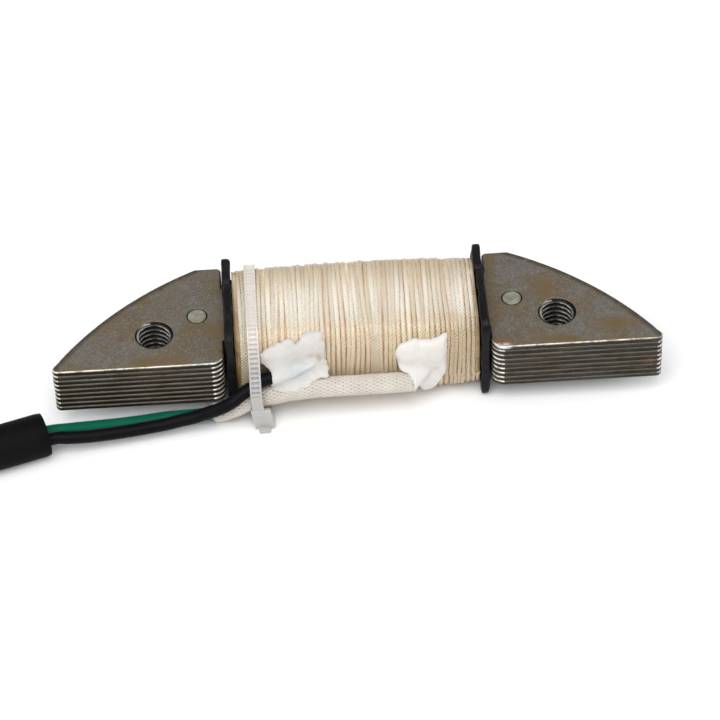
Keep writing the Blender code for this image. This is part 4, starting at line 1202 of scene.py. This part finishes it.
def add_thread_cover(material, turns=53, spacing=0.3):
    """One three-ply thread, wound round and round from cheek to cheek, with all its unevenness."""
    from_cheek = 0.55
    wound_from = -CHEEK_INNER_X + from_cheek
    wound_to = CHEEK_INNER_X - from_cheek
    half_depth, half_height = cover_half_sizes(0.0)
    around = 4 * (half_depth + half_height) - (8 - 2 * math.pi) * COVER_CORNER
    steps = round(turns * around / spacing)
    plies = 3
    columns = 2 * plies
    twist_length = 2.0
    groove_reach = 0.87
    points = []
    marks = {"painted_sheen": [], "darkened": [], "tint": [], "ply": [], "groove_light": [], "recess_shade": []}
    for step in range(steps + 1):
        turn = turns * step / steps
        share = turn % 1.0
        even = wound_from + (wound_to - wound_from) * turn / turns
        x = strayed(even, turn, share)
        y, z, ny, nz = around_cover(x, share)
        low = how_low(share)
        flat = 0.5 + 0.5 * math.sin(2 * math.pi * (share - 0.05))
        half_width = 0.4 + 0.06 * flat - 0.02 * low + 0.03 * roughly(turn * 2.1, share * 1.2, 1.0)
        half_height_here = 0.3 - 0.06 * flat + 0.02 * roughly(turn * 1.3, share * 2.0, 4.0)
        lift = skin_lump(x, share) - half_height_here
        lift += (0.07 - 0.05 * flat) * roughly(turn * 3.7, share * 1.7, 9.0)
        centre = (x, y + ny * lift, z + nz * lift)
        spin = -2 * math.pi * step * spacing / twist_length
        painted_sheen, darkened, tint, recess_shade = thread_shades(x, turn, share)
        for column in range(columns):
            angle = spin + 2 * math.pi * column / columns
            reach = 1.0 if column % 2 == 0 else groove_reach
            sideways = half_width * reach * math.cos(angle)
            out = half_height_here * reach * math.sin(angle)
            points.append((centre[0] + sideways, centre[1] + ny * out, centre[2] + nz * out))
            # Painted light on the faces turned towards the bed, except low on the front.
            groove_light = (0.35 - math.sin(angle)) * (1 - low)
            values = (painted_sheen, darkened, tint, float(column % 2), groove_light, recess_shade)
            for mark, value in zip(marks.values(), values):
                mark.append(clamped(value))
    faces = closed_faces(steps + 1, columns)
    add_mesh("thread_cover_wound", points, faces, material, ["thread_cover"], marks=marks)


def varnish_bed_material():
    """The brown varnished layer that shows between the turns, painted darker low on the front and by the
    left cheek's gap as painted shade.
    """
    n = Nodes("varnish_bed", Coat_Weight=0.3)
    cloud = n.noise(420.0, 4.0)
    thin = n.mix(n.span(cloud, 0.3, 0.7), (0.72, 0.56, 0.36), (0.8, 0.66, 0.46))
    # These dark browns are painted shade in the gaps between the turns.
    thick = n.mix(n.span(cloud, 0.3, 0.7), (0.2, 0.115, 0.045), (0.42, 0.28, 0.13))
    return n.finish(
        Base_Color=n.mix(n.mark("gap_shade"), thin, thick),
        Roughness=n.span(cloud, 0.3, 0.7, 0.4, 0.6),
        Normal=n.bump(cloud, 0.12, 0.6),
    )


def add_varnish_bed(material):
    """A closed ring under the thread, from cheek to cheek, with its turned-down ends."""
    columns = 96
    thick = 0.15
    end_x = CHEEK_INNER_X - 0.15
    xs = np.linspace(-end_x, end_x, 60)
    rings = []
    gap_shade = []
    for depth in (0.0, thick):
        for x in (xs if depth == 0.0 else xs[::-1]):
            for column in range(columns):
                share = column / columns
                y, z, ny, nz = around_cover(x, share)
                low = how_low(share)
                lift = skin_lump(x, share) - 0.15 - 0.22 * low - depth
                rings.append((x, y + ny * lift, z + nz * lift))
                # Painted shade: darker low on the front, most by the gap beside the left cheek.
                gap_shade.append(min(1.0, low**2 * (0.75 + 0.5 * math.exp(-(((x - LEFT_GAP_X) / 2.0) ** 2)))))
    faces = looped_faces(2 * len(xs), columns)
    add_mesh("varnish_bed", rings, faces, material, marks={"gap_shade": gap_shade})


# ---------------------------------------------------------------- sleeve, silicone and tie


def braid_material():
    """Varnished glass-fibre braid, off-white with tan varnish in its hollows."""
    n = Nodes("glass_braid", **see_through(0.1, (1.0, 0.8, 0.6), 0.4))
    hollow = n.mark("hollow")
    cloud = n.noise(300.0, 4.0)
    fibre = n.noise(5600.0, 2.0)
    base = n.mix(n.span(cloud, 0.3, 0.7), (0.615, 0.57, 0.515), (0.54, 0.495, 0.435))
    base = n.mix(n.span(hollow, 0.3, 0.9, 0.0, 0.95), base, (0.26, 0.2, 0.15))
    return n.finish(
        Base_Color=base,
        Roughness=n.span(cloud, 0.3, 0.7, 0.5, 0.7),
        Normal=n.bump(fibre, 0.04, 0.8, under=n.bump(n.span(hollow, 0.0, 1.0, 1.0, 0.0), 0.15, 1.0)),
    )


def add_braided_sleeve(material, strands=16, lay=1.25):
    """An open tube of crossing strands."""
    path = smooth_route(SLEEVE_ROUTE, 0.14)
    points_per_strand = 7
    columns = strands * points_per_strand
    rows = len(path)
    distance = np.linspace(0.0, length_of(path), rows)
    across = strands * ring_angles(columns)[None, :] / (2 * np.pi)
    first = np.cos(np.pi * (across + distance[:, None] / lay))
    second = np.cos(np.pi * (across - distance[:, None] / lay))
    # Where two strands cross, the lower one lies this much deeper.
    under = 0.16
    over = np.sign(first * second + 1e-9)
    ridge_first = np.abs(first) ** 0.6 * (1 - under + under * over)
    ridge_second = np.abs(second) ** 0.6 * (1 - under - under * over)
    ridge = np.maximum(ridge_first, ridge_second)
    lumps = tube_lumps(distance * 0.35, columns, 1.2, 14.0)
    relief = 0.18
    outer = SLEEVE_RADIUS - relief + relief * ridge + 0.07 * lumps
    inner = SLEEVE_BORE_RADIUS - 0.1 + 0.05 * lumps
    points = np.vstack([tube_points(path, outer), rows_reversed(tube_points(path, inner), columns)])
    hollow = np.concatenate([1 - ridge.ravel(), np.full(rows * columns, 0.8)])
    add_mesh(
        "braided_sleeve_woven",
        points,
        looped_faces(2 * rows, columns),
        material,
        ["braided_sleeve"],
        marks={"hollow": hollow},
    )


# Place, reach and colour of each mark. The two bluish-grey ones are painted shade, in the left dab's dimple
# and low on the right dab; the brown and tan ones are stains.
SILICONE_STAINS_AND_SHADE = [
    ((-10.0, 0.0, 5.8), (3.0, 4.0, 3.0), (0.43, 0.47, 0.49)),
    ((-6.4, 1.0, 8.0), (0.7, 3.0, 1.5), (0.4, 0.31, 0.24)),
    ((12.6, -1.5, 3.0), (3.5, 3.0, 2.4), (0.47, 0.51, 0.52)),
    ((12.0, 2.0, 8.4), (3.0, 3.0, 1.6), (0.6, 0.5, 0.43)),
    ((8.75, -2.0, 3.2), (0.35, 3.0, 1.3), (0.3, 0.22, 0.16)),
]


def silicone_material():
    """Matte white silicone with faint dirt from handling; the left dab is painted darker, and both carry
    patches of painted shade.
    """
    n = Nodes("silicone_sealant", **see_through(0.2, (1.0, 0.9, 0.8), 0.8))
    cloud = n.noise(260.0, 5.0, 0.6)
    dirt = n.span(n.noise(1500.0, 5.0, 0.6), 0.64, 0.8, 0.0, 0.4)
    # The left dab is painted darker than the right one, as painted shade.
    left = n.mix(n.span(cloud, 0.3, 0.7), (0.57, 0.565, 0.55), (0.54, 0.51, 0.475))
    right = n.mix(n.span(cloud, 0.3, 0.7), (0.66, 0.65, 0.63), (0.64, 0.605, 0.57))
    base = n.mix(n.span(n.axis("X"), -2.0 * MM, 2.0 * MM), left, right)
    base = n.mix(dirt, base, (0.45, 0.38, 0.3))
    # Stains, and patches of painted shade.
    for centre, reach, colour in SILICONE_STAINS_AND_SHADE:
        base = n.mix(n.times(n.near(centre, reach), 0.8), base, colour)
    return n.finish(
        Base_Color=base,
        Roughness=n.span(cloud, 0.3, 0.7, 0.38, 0.6),
        Normal=n.bump(n.noise(1700.0, 4.0), 0.06, 0.6, under=n.bump(cloud, 0.3, 0.6)),
    )


def skin_point(x, height, lift):
    """A point over the front of the winding, its height measured along the skin from below."""
    half_depth, half_height = cover_half_sizes(x)
    flat = half_height - COVER_CORNER
    rise = height - COIL_CENTRE_Z
    front_y = COIL_CENTRE_Y - half_depth
    if abs(rise) <= flat:
        return (x, front_y - lift, height)
    turn = (abs(rise) - flat) / COVER_CORNER
    reach = COVER_CORNER + lift
    y = front_y + COVER_CORNER - reach * math.cos(turn)
    z = COIL_CENTRE_Z + math.copysign(flat + reach * math.sin(turn), rise)
    return (x, y, z)


# What the dabs bury, as (x, y, z, radius) from right to left.
BURIED_START = [
    (-7.2, 1.0, 6.7, 0.4), (-9.0, 0.5, 6.05, 0.5), (-10.6, 0.3, 5.55, 0.8), (-13.6, 0.15, 4.85, 1.1),
    (-15.2, 0.05, 4.65, 1.12),
]
BURIED_FINISH = [(12.0, 1.2, 4.2, 0.2), (11.4, 0.65, 3.6, 0.5), (9.6, -0.1, 2.8, 1.2)]
BURIED_FINISH += [(x, y, z, SLEEVE_RADIUS) for x, y, z in SLEEVE_ROUTE]


def buried_lift(x, height):
    """How far the silicone has to stand off the skin to cover the cords at this place."""
    half_depth = cover_half_sizes(x)[0]
    highest = -1.0
    for stations in (BURIED_START, BURIED_FINISH):
        xs, *others = np.array(stations).T
        if not xs[-1] <= x <= xs[0]:
            continue
        y, z, radius = [np.interp(-x, -xs, values) for values in others]
        off = abs(height - z)
        centre_lift = COIL_CENTRE_Y - half_depth - y
        if off < radius:
            top = centre_lift + math.sqrt(radius**2 - off**2)
        else:
            top = centre_lift - (off - radius) * 1.1
        highest = max(highest, top)
    return highest


def closed_curve(points, count):
    """A smooth closed curve through these points, evenly stepped."""
    knots = np.array(points, float)
    fine = catmull_rom(np.vstack([knots[-1:], knots, knots[:2]]), 12)
    return evenly(np.vstack([fine, fine[:1]]), count + 1)[:-1]


def blurred(field, reach):
    """The field averaged over a Gaussian of this many steps."""
    steps = np.arange(-round(3 * reach), round(3 * reach) + 1)
    weights = np.exp(-0.5 * (steps / reach) ** 2)
    weights /= weights.sum()
    for axis in (0, 1):
        widths = [(0, 0), (0, 0)]
        widths[axis] = (len(steps) // 2, len(steps) // 2)
        padded = np.pad(field, widths, mode="edge")
        field = np.apply_along_axis(np.convolve, axis, padded, weights, "valid")
    return field


def dab_field(outline, thickness, features, seed):
    """A function that gives the silicone's height over the skin anywhere, from an even grid of it."""
    step = 0.12
    margin = 1.5
    xs = np.arange(outline[:, 0].min() - margin, outline[:, 0].max() + margin, step)
    heights = np.arange(outline[:, 1].min() - margin, outline[:, 1].max() + margin, step)
    buried = np.array([[buried_lift(x, height) for height in heights] for x in xs])
    lumps = np.array([[roughly(x * 0.5, height * 0.5, 0.0, seed) for height in heights] for x in xs])
    fine = np.array([[roughly(x * 1.5, height * 1.5, 2.0, seed) for height in heights] for x in xs])
    # The silicone bridges the hollows between the cords.
    field = blurred(np.maximum(thickness * (1 + 0.25 * lumps), buried + 0.25), 0.75 / step)
    field = blurred(np.maximum(field, buried + 0.2), 0.3 / step) + 0.06 * fine
    for feature_x, feature_height, half_width, rise in features:
        far = (xs[:, None] - feature_x) ** 2 + (heights[None, :] - feature_height) ** 2
        field += rise * np.exp(-far / half_width**2)

    def lift_at(x, height):
        across = (x - xs[0]) / step
        along = (height - heights[0]) / step
        i, j = int(across), int(along)
        u, v = across - i, along - j
        near = field[i, j] * (1 - v) + field[i, j + 1] * v
        far = field[i + 1, j] * (1 - v) + field[i + 1, j + 1] * v
        return near * (1 - u) + far * u

    return lift_at


def ragged_outline(edge, heart, columns, ragged_by):
    """A smooth outline with teeth, each on its line from the heart."""
    ragged = []
    for x, height in closed_curve(edge, columns):
        out = np.array([x - heart[0], height - heart[1]])
        length = np.linalg.norm(out)
        tooth = ragged_by * roughly(x * 2.6, height * 1.6, 0.0, heart[0])
        tooth += 0.14 * roughly(x * 0.9, height, 5.0, heart[0])
        ragged.append(np.array(heart) + out / length * (length + tooth))
    return np.array(ragged)


def add_dab(side, edge, heart, thickness, ragged_by, features, material):
    """A smeared dab of silicone over the cords it holds. heart is a point that sees all of its outline."""
    columns = 150
    rows = 30
    # How far it stands off what it buries, and how deep it reaches below.
    cover = 0.12
    sunk = 0.25
    edge_lift = 0.14
    least_thickness = 0.3
    voxel = 0.13
    outline = ragged_outline(edge, heart, columns, ragged_by)
    lift_at = dab_field(outline, thickness, features, heart[0])
    top = []
    under = []
    for row in range(rows + 1):
        share = 1 - (row / rows) ** 1.25 if row else 1.0
        for column in range(columns):
            x, height = np.array(heart) + (outline[column] - heart) * share
            from_edge = (1 - share) * np.linalg.norm(outline[column] - heart)
            buried = buried_lift(x, height)
            low = max(edge_lift, buried + cover)
            rounded = 1 - math.exp(-from_edge / 0.45)
            lift = max(low + (lift_at(x, height) - low) * rounded, buried + cover)
            top.append(skin_point(x, height, lift))
            under.append(skin_point(x, height, min(max(-sunk, buried - sunk), lift - least_thickness)))
    # The grid runs from the middle of the underside out to the edge and back to the middle of the top.
    points = np.vstack([rows_reversed(np.array(under), columns), top])
    faces = closed_faces(2 * (rows + 1), columns)
    dab = add_mesh(f"silicone_dab_{side}", points, faces, material, [f"silicone_{side}"])
    remesh = dab.modifiers.new("remesh", "REMESH")
    remesh.mode = "VOXEL"
    remesh.voxel_size = voxel * MM
    remesh.use_smooth_shade = True
    smooth = dab.modifiers.new("smooth", "SMOOTH")
    smooth.factor = 0.5
    smooth.iterations = 5


# The dabs' outlines, as X and the height along the skin.
LEFT_DAB_EDGE = [
    (-16.2, 7.4), (-16.1, 8.5), (-15.4, 9.4), (-14.0, 10.2), (-12.7, 10.8), (-11.3, 11.3), (-10.5, 11.1),
    (-10.1, 10.4), (-9.5, 11.0), (-8.9, 11.8), (-7.8, 12.3), (-5.9, 12.4), (-5.5, 11.2), (-5.4, 9.1),
    (-5.2, 6.6), (-4.9, 4.6), (-6.2, 4.4), (-7.6, 4.05), (-9.7, 3.4), (-11.8, 3.0), (-13.6, 2.9),
    (-14.5, 3.1), (-14.5, 3.8), (-14.35, 4.6), (-14.35, 5.4), (-14.6, 6.1), (-15.1, 6.6), (-15.8, 6.7),
]
RIGHT_DAB_EDGE = [
    (6.1, 7.0), (6.25, 8.2), (6.7, 9.1), (7.9, 9.7), (9.3, 10.2), (10.7, 9.9), (12.7, 10.1), (14.6, 10.8),
    (14.6, 9.0), (14.55, 6.4), (14.5, 4.0), (14.2, 2.2), (13.4, 0.5), (12.6, -1.0), (11.8, -2.1),
    (10.9, -2.5), (10.2, -1.2), (9.7, 0.8), (9.1, 2.2), (8.75, 2.9), (8.6, 3.6), (8.0, 4.3), (7.0, 4.6),
    (6.4, 5.6),
]
# Their swellings and dimples, as X, height, half width and rise.
LEFT_DAB_FEATURES = [
    (-13.2, 8.2, 2.0, 0.35), (-7.6, 10.3, 1.7, 0.3), (-10.1, 6.3, 1.3, -0.55), (-7.4, 8.0, 0.8, -0.35),
]
RIGHT_DAB_FEATURES = [
    (8.3, 7.2, 1.8, 0.6), (12.0, 7.0, 2.6, 0.7), (12.2, 3.4, 1.0, -0.5), (9.9, 8.6, 0.7, -0.25),
]


def add_silicone(material):
    add_dab("left", LEFT_DAB_EDGE, (-10.3, 7.0), 0.55, 0.34, LEFT_DAB_FEATURES, material)
    add_dab("right", RIGHT_DAB_EDGE, (10.6, 5.6), 0.8, 0.12, RIGHT_DAB_FEATURES, material)


TIE_X = -17.0
TIE_WIDTH = 1.9
TIE_THICKNESS = 0.62
TIE_GAP = 0.18
TIE_HEAD_X = -16.45
TIE_HEAD_WIDTH = 3.25
TIE_TAIL_Y = -4.1
RIB_PITCH = 0.8


def tie_material():
    """Natural nylon: milky and a little see-through, painted darker lower down and in its rib hollows as
    painted shade.
    """
    n = Nodes("natural_nylon", IOR=1.53, **see_through(0.35, (1.0, 0.95, 0.85), 1.2))
    cloud = n.noise(240.0, 3.0)
    # Painted shade: the nylon is painted darker below 6 mm up the core and lighter above 12 mm.
    lit_height = n.span(n.axis("Z"), CORE.z + 6.0 * MM, CORE.z + 12.0 * MM)
    pale = n.mix(cloud, (0.65, 0.595, 0.545), (0.62, 0.57, 0.52))
    shaded_tone = n.mix(cloud, (0.43, 0.42, 0.4), (0.4, 0.395, 0.38))
    base = n.mix(lit_height, shaded_tone, pale)
    return n.finish(
        # The rib hollows are painted dark, as painted shade, darkest low down.
        Base_Color=n.mix(n.mark("rib_hollow_shade"), base, n.mix(lit_height, (0.25, 0.27, 0.3), (0.56, 0.53, 0.5))),
        Roughness=n.span(cloud, 0.3, 0.7, 0.26, 0.4),
        Normal=n.bump(n.noise(2400.0, 3.0), 0.02, 0.5, under=n.bump(cloud, 0.1, 0.4)),
    )


def tie_path():
    """Centre line of the strap, from the head over the leads and round to the tail."""
    lift = TIE_GAP + TIE_THICKNESS / 2
    half_depth, half_height = cover_half_sizes(TIE_X)
    corner = COVER_CORNER + lift
    rear = COIL_CENTRE_Y + half_depth + lift
    top = COIL_CENTRE_Z + half_height + lift
    bottom = COIL_CENTRE_Z - half_height - lift
    front = COIL_CENTRE_Y - half_depth - lift
    # Over the sleeve and the black lead the strap stands off the winding.
    path = [
        (-2.65, -1.5), (-2.7, -0.3), (-2.8, 1.2), (-2.8, 2.9), (-2.65, 4.1), (-2.1, 5.15), (-1.1, 6.15),
        (-0.15, 7.3),
    ]
    path += arc((front + corner, top - corner), corner, 165, 90, 4)
    path += arc((rear - corner, top - corner), corner, 90, 0, 5)
    path += arc((rear - corner, bottom + corner), corner, 0, -90, 5)
    path += [(4.0, bottom), (0.5, bottom), (TIE_TAIL_Y, bottom)]
    route = []
    for y, z in path:
        # The strap slants a little: its lower end joins the head, which sits nearer the middle.
        share = clamped((3.0 - z) / 6.0)
        tail = 0.6 * clamped((4.0 - y) / 6.0) * (z <= bottom)
        route.append((TIE_X + (TIE_HEAD_X - TIE_X) * share + tail, y, z))
    return route


def join_tie_head(strap):
    """Joins the head to the strap. It leans: its foot lies further along the coil than its top."""
    bottom = COIL_CENTRE_Z - CHEEK_HALF_HEIGHT + 0.02
    outline = [
        (0.3, bottom + 0.15), (0.3, -1.75), (-1.5, -1.75), (-2.1, -1.35), (-2.28, -0.7), (-2.38, 0.4),
        (-3.1, 0.4), (-3.2, -1.0), (-3.2, bottom + 0.35), (-3.0, bottom + 0.15),
    ]
    half_head = TIE_HEAD_WIDTH / 2
    head_lean = 0.17
    head_points = []
    for x in (-half_head, half_head):
        head_points += [(TIE_HEAD_X + x + head_lean * (0.4 - z), y, z) for y, z in outline]
    head_mesh = new_mesh("cable_tie_head_form", head_points, closed_faces(2, len(outline)))
    head = linked(head_mesh.name, head_mesh)
    head.hide_render = True
    head.display_type = "WIRE"
    bevel = head.modifiers.new("soft_edges", "BEVEL")
    bevel.width = 0.22 * MM
    bevel.segments = 3
    bevel.limit_method = "ANGLE"
    join = strap.modifiers.new("head", "BOOLEAN")
    join.operation = "UNION"
    join.object = head


def add_cable_tie(material):
    """A strap with ribs across its outer face between two smooth edges, and its head."""
    path = smooth_route(tie_path(), 0.1)
    along = np.gradient(path, axis=0)
    along /= np.linalg.norm(along, axis=1)[:, None]
    outward = np.cross(np.array([1.0, 0.0, 0.0])[None, :], along)
    outward /= np.linalg.norm(outward, axis=1)[:, None]
    distance = np.linspace(0.0, length_of(path), len(path))
    half = TIE_WIDTH / 2
    rise = TIE_THICKNESS / 2
    # Section, anticlockwise: distance across, height, and how much a rib's hollow lowers it.
    section = [
        (-half, -rise + 0.12, 0), (-half + 0.12, -rise, 0), (0.0, -rise, 0), (half - 0.12, -rise, 0),
        (half, -rise + 0.12, 0), (half, rise - 0.14, 0), (half - 0.1, rise, 0), (half - 0.26, rise, 0),
        (half - 0.32, rise - 0.04, 1), (0.0, rise - 0.04, 1), (-half + 0.32, rise - 0.04, 1),
        (-half + 0.26, rise, 0), (-half + 0.1, rise, 0), (-half, rise - 0.14, 0),
    ]
    smooth_until = 4.8
    rib_depth = 0.26
    points = []
    hollows = []
    for row, centre in enumerate(path):
        phase = (distance[row] / RIB_PITCH) % 1.0
        hollow = clamped((0.24 - abs(phase - 0.3)) / 0.1)
        hollow *= clamped((distance[row] - smooth_until) / 0.4)
        for across, height, ribbed in section:
            point = centre + np.array([across, 0.0, 0.0])
            points.append(point + outward[row] * (height - rib_depth * hollow * ribbed))
            hollows.append(0.5 * hollow * ribbed)
    strap = add_mesh(
        "cable_tie_ribbed",
        points,
        closed_faces(len(path), len(section)),
        material,
        ["cable_tie"],
        marks={"rib_hollow_shade": hollows},
        sharp_angle=38,
    )
    join_tie_head(strap)


# ---------------------------------------------------------------- hidden pieces


def finish_hidden_nodes():
    """Materials of the CAD nodes that stay as they are, inside the winding and the dabs."""
    copper = two_tone(
        "enamelled_copper", ((0.5, 0.17, 0.06), (0.36, 0.1, 0.03)), 2200.0, (0.22, 0.4), (0.03, 0.6),
        detail=3.0, stretch=(0.2, 1.0, 1.0), Metallic=0.85,
    )
    film = two_tone(
        "amber_film", ((0.62, 0.36, 0.1), (0.48, 0.25, 0.06)), 400.0, (0.2, 0.4), Transmission_Weight=0.2
    )
    solder = two_tone(
        "solder", ((0.62, 0.62, 0.6), (0.42, 0.42, 0.41)), 1500.0, (0.25, 0.5), (0.05, 0.6), Metallic=1.0
    )
    finishes = {
        "magnet_wire_winding": copper,
        "start_wire": copper,
        "finish_wire": copper,
        "insulating_film": film,
        "start_splice": solder,
        "finish_splice": solder,
    }
    for name, finish in finishes.items():
        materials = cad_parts[name].data.materials
        materials.clear()
        materials.append(finish)


# ---------------------------------------------------------------- floor, light and camera


def add_floor():
    mesh = bpy.data.meshes.new("floor")
    half = 3.0
    corners = [(-half, -half, 0), (half, -half, 0), (half, half, 0), (-half, half, 0)]
    mesh.from_pydata(corners, [], [(0, 1, 2, 3)])
    n = Nodes("pale_floor", Roughness=0.95, Specular_IOR_Level=0.1)
    n.finish(Base_Color=n.mix(n.noise(3.0), (0.93, 0.93, 0.93), (0.95, 0.95, 0.95)))
    mesh.materials.append(n.material)
    floor = linked("floor", mesh)


def direction(azimuth, elevation):
    """From the coil, angles in degrees. Azimuth 0 is its front."""
    a = math.radians(azimuth)
    e = math.radians(elevation)
    return Vector((math.sin(a) * math.cos(e), -math.cos(a) * math.cos(e), math.sin(e)))


def add_area_light(name, azimuth, elevation, distance, size, power):
    """A square softbox that looks at the coil from this direction."""
    data = bpy.data.lights.new(name, "AREA")
    data.energy = power
    data.size = size
    light = linked(name, data)
    away = direction(azimuth, elevation)
    light.location = away * distance
    light.rotation_euler = away.to_track_quat("Z", "Y").to_euler()


def add_world(strength):
    world = bpy.data.worlds.new("studio")
    world.use_nodes = True
    background = world.node_tree.nodes["Background"]
    background.inputs["Color"].default_value = (1.0, 1.0, 1.0, 1.0)
    background.inputs["Strength"].default_value = strength
    bpy.context.scene.world = world


def add_camera():
    """The photograph's viewing angle: from the front and above, rolled a little."""
    azimuth = -1.783
    elevation = 45.296
    roll = math.radians(-2.09)
    distance = 0.574362
    target = Vector((0.000563, 0.000925, 0.001667))
    back = direction(azimuth, elevation)
    level = direction(azimuth + 90, 0)
    upright = back.cross(level)
    right = level * math.cos(roll) + upright * math.sin(roll)
    up = upright * math.cos(roll) - level * math.sin(roll)
    data = bpy.data.cameras.new("camera")
    data.sensor_width = 36.0
    data.lens = 171.915
    camera = linked("camera", data)
    turn = Matrix((right, up, back)).transposed().to_4x4()
    camera.matrix_world = Matrix.Translation(target + back * distance) @ turn
    bpy.context.scene.camera = camera


steel = steel_material()
add_laminations(steel)
add_screw_threads(thread_material())
add_rivets(rivet_material())
nylon = nylon_material()
add_bobbin_half("bobbin_front", SPLIT_FRONT_Y, -1, {-1: 0.0, 1: 0.1}, nylon)
add_bobbin_half("bobbin_rear", SPLIT_REAR_Y, 1, {-1: -0.1, 1: -0.12}, nylon)
add_varnish_bed(varnish_bed_material())
add_thread_cover(cotton_material())
add_leads()
add_braided_sleeve(braid_material())
add_silicone(silicone_material())
add_cable_tie(tie_material())
finish_hidden_nodes()
add_floor()
add_area_light("key", -12, 60, 0.9, 0.7, 6.5)
add_area_light("left_side", -82, 24, 0.8, 0.5, 1.5)
add_area_light("right_side", 78, 24, 0.8, 0.5, 1.5)
add_world(0.52)
add_camera()
bpy.context.scene.view_settings.view_transform = "Standard"
